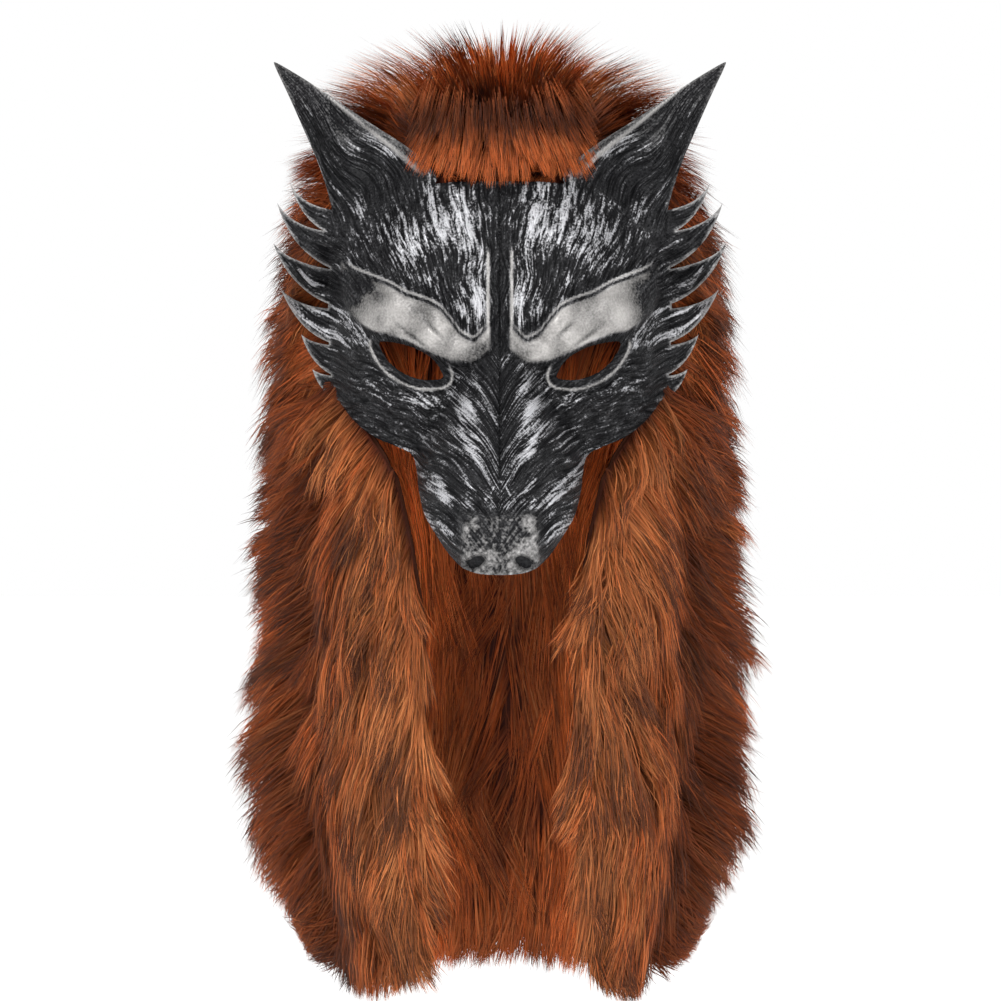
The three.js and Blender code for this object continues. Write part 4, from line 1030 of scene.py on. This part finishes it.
def mask_material():
    """Black moulding with silver dry-brushed along the carved hair, and more evenly where it is plain."""
    made, tree, shader = new_material("painted_moulding")

    def attribute(name, output):
        return add_node(tree, "Attribute", output, attribute_name=name)

    def math_node(kind, *values):
        return add_node(tree, "Math", "Value", dict(enumerate(values)), operation=kind)

    def ranged(value, low, high, kind="LINEAR"):
        inputs = {"Value": value, "From Min": low, "From Max": high}
        return add_node(tree, "MapRange", "Result", inputs, interpolation_type=kind)

    def blend(factor, a, b, kind="FLOAT"):
        return add_node(tree, "Mix", "Result", {"Factor": factor, "A": a, "B": b}, data_type=kind)

    def streaks(name, wide, tall):
        stretch = {0: attribute(name, "Vector"), 1: (1 / wide, 1 / tall, 1)}
        place = add_node(tree, "VectorMath", "Vector", stretch, operation="MULTIPLY")
        inputs = {"Vector": place, "Scale": 1.0, "Detail": 2.5, "Roughness": 0.62, "Distortion": 0.25}
        return add_node(tree, "TexNoise", "Fac", inputs)

    silver, plain = attribute("silver", "Fac"), attribute("plain", "Fac")
    zones = attribute("zones", "Vector")
    hair = streaks("flow_0", 1.0, 9)
    over = (("flow_1", 0.95, 7, "X"), ("flow_2", 1.2, 14, "Y"), ("flow_3", 1.2, 12, "Z"))
    for name, wide, tall, zone in over:
        hair = blend(add_node(tree, "SeparateXYZ", zone, {"Vector": zones}), hair, streaks(name, wide, tall))
    hair = ranged(hair, 0.34, 0.66)
    place = add_node(tree, "TexCoord", "Object")
    speck = ranged(add_node(tree, "TexNoise", "Fac", {"Vector": place, "Scale": 900, "Detail": 2}), 0.3, 0.7)
    uneven = math_node("SUBTRACT", 1.0, plain)
    brushed = math_node("MULTIPLY_ADD", hair, 0.6, math_node("MULTIPLY", speck, 0.36))
    brushed = math_node("MULTIPLY", brushed, uneven)
    rubbed = math_node("MULTIPLY", math_node("MULTIPLY_ADD", speck, 0.22, 0.36), plain)
    paint = math_node("MULTIPLY_ADD", silver, 0.95, math_node("ADD", brushed, rubbed))
    cover = blend(plain, ranged(paint, 0.78, 1.36, "SMOOTHSTEP"), ranged(paint, 0.55, 1.5))
    worn = math_node("MULTIPLY", math_node("POWER", hair, 1.5), speck)
    black = blend(worn, (0.004, 0.004, 0.0045, 1), (0.06, 0.06, 0.063, 1), "RGBA")
    bright = blend(plain, (0.47, 0.47, 0.49, 1), (0.43, 0.415, 0.4, 1), "RGBA")
    fine = math_node("MULTIPLY", speck, 0.12)
    carved = math_node("MULTIPLY_ADD", math_node("MULTIPLY", hair, uneven), 0.9, fine)
    plug(tree, shader, {
        "Base Color": blend(cover, black, bright, "RGBA"),
        "Metallic": math_node("MULTIPLY", cover, 0.35),
        "Normal": add_node(tree, "Bump", "Normal", {"Height": carved, "Strength": 0.9, "Distance": 0.0009}),
        "Roughness": 0.34,
        "Specular IOR Level": 0.12,
        "IOR": 1.28,
    })
    return made


# Camera, light and backdrop

def studio():
    data = bpy.data.cameras.new("camera")
    data.lens = 180
    data.sensor_width = 36
    camera = place_object("camera", data)
    camera.location = (0.0003, -2.57, -0.1843)
    camera.rotation_euler = (math.radians(90), 0, 0)
    bpy.context.scene.camera = camera
    # The world is white round the horizon and dim above and below.
    world = bpy.data.worlds.new("studio")
    bpy.context.scene.world = world
    world.use_nodes = True
    tree = world.node_tree
    height = add_node(tree, "SeparateXYZ", "Z", {"Vector": add_node(tree, "TexCoord", "Generated")})
    level = add_node(tree, "Math", "Value", {0: height}, operation="ABSOLUTE")
    ends = {"Value": level, "From Min": 0.3, "From Max": 0.55, "To Min": 1.0, "To Max": 0.2}
    band = add_node(tree, "MapRange", "Result", ends)
    plug(tree, tree.nodes["Background"], {"Color": (1, 1, 1, 1), "Strength": band})
    for name, place, power, size in (
        ("key", (-0.8, -1.6, 0.9), 30, 0.7),
        ("fill", (1.2, -1.6, 0.2), 14, 0.9),
        ("front", (0.0, -2.3, -0.4), 10, 0.8),
        ("top", (0.1, 0.1, 1.3), 14, 0.9),
    ):
        light = bpy.data.lights.new(name, "AREA")
        light.energy, light.size = power, size
        lamp = place_object(name, light)
        lamp.location = place
        aim = Vector((0, -0.05, -0.18)) - Vector(place)
        lamp.rotation_euler = aim.to_track_quat("-Z", "Y").to_euler()
    ways = ((-1, -1), (1, -1), (1, 1), (-1, 1))
    corners = [(x * FLOOR_REACH, y * FLOOR_REACH, FLOOR_HEIGHT) for x, y in ways]
    ground = new_object("floor", corners, [(0, 1, 2, 3)], smooth=False)
    pale, tree, shader = new_material("pale_floor")
    plug(tree, shader, {"Base Color": (0.92, 0.92, 0.92, 1), "Roughness": 0.9,
                        "Emission Color": (1, 1, 1, 1), "Emission Strength": 0.75})
    ground.data.materials.append(pale)
    bpy.context.scene.view_settings.view_transform = "Standard"


# The pieces

studio()
fur = fur_material()
mask = mask_mesh()
mask.data.materials.append(mask_material())
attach(mask, "root")
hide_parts("mask_shell")

cloth = hood_cloth()
cloth.data.materials.append(cloth_material())
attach(cloth, "root")
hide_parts("hood_backing")


def add_fur(name, node, skin, strands, stations=4, shade_at=evenly):
    obj = fur_object(name, skin, strands, stations, shade_at)
    obj.data.materials.append(fur)
    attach(obj, "root")
    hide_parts(node)
    return obj


back = pile_strands(STRANDS["back"], BACK, 48, 11, even(0.0), even(0.05), even(0.3), no_drop)
pieces = [add_fur("back_pile", "back_fur", skin_of(BACK), back, 3)]
for side, word in ((-1, "left"), (1, "right")):
    side_patch, front_patch, face_patch = (
        p if side > 0 else (-p[1], -p[0], *p[2:]) for p in (SIDE, FRONT, AROUND_FACE))
    long = pile_strands(STRANDS["side"], side_patch, 46, 21 + side, side_lean, even(0.08), outline_dark,
                        in_opening, flick=1.25, tone=0.82)
    short = pile_strands(STRANDS["around_face"], face_patch, 27, 61 + side, side_lean, even(0.05), even(0.4),
                         in_opening, clump=(0.6, 0.03), tone=0.6)
    strands = clear_of_mask(together(long, short))
    skin = skin_of(side_patch)
    pieces.append(add_fur(word + "_side_pile", word + "_side_fur", skin, strands, shade_at=side_shade))
    long = pile_strands(STRANDS["front"], front_patch, 46, 31 + side, front_lean, edge_tan, even(0.36),
                        in_opening, tone=0.7)
    rim = pile_strands(STRANDS["rim"], FRONT, 32, 71 + side, rim_lean, even(0.55), even(0.12), in_opening,
                       clump=(0.5, 0.05), flick=0.7, tone=0.85, hug=side)
    strands = clear_of_mask(together(long, rim))
    pieces.append(add_fur(word + "_front_pile", word + "_front_fur", skin_of(front_patch), strands))
strands = pile_strands(STRANDS["inner"], INNER, 60, 41, inner_lean, even(0.1), even(0.2), no_drop,
                       inside=True)
# The pile inside gets little light, so its shade is raised, and most where it is seen through the eyes.
root, shade = strands[0], strands[5]
shade[:] = shade * 1.35 + 0.42 + 1.0 * smoothstep(root[:, 2], -210, -150)
pieces.append(add_fur("inner_back_pile", "inner_back_fur", skin_of(INNER, inside=True), strands, 3))
rings = np.linspace(0.0, 1.0, 24) ** 2
crown_skin = fur_skin(hood_grid((-FRONT_COLUMN, FRONT_COLUMN, 0.00004, CROWN_EDGE), 81, rings), crown_place)
strands = together(clear_of_mask(crown_strands(STRANDS["crown"], 51)), fringe_strands(STRANDS["fringe"], 61))
pieces.append(add_fur("crown_pile", "crown_fur", crown_skin, strands, shade_at=crown_shade))
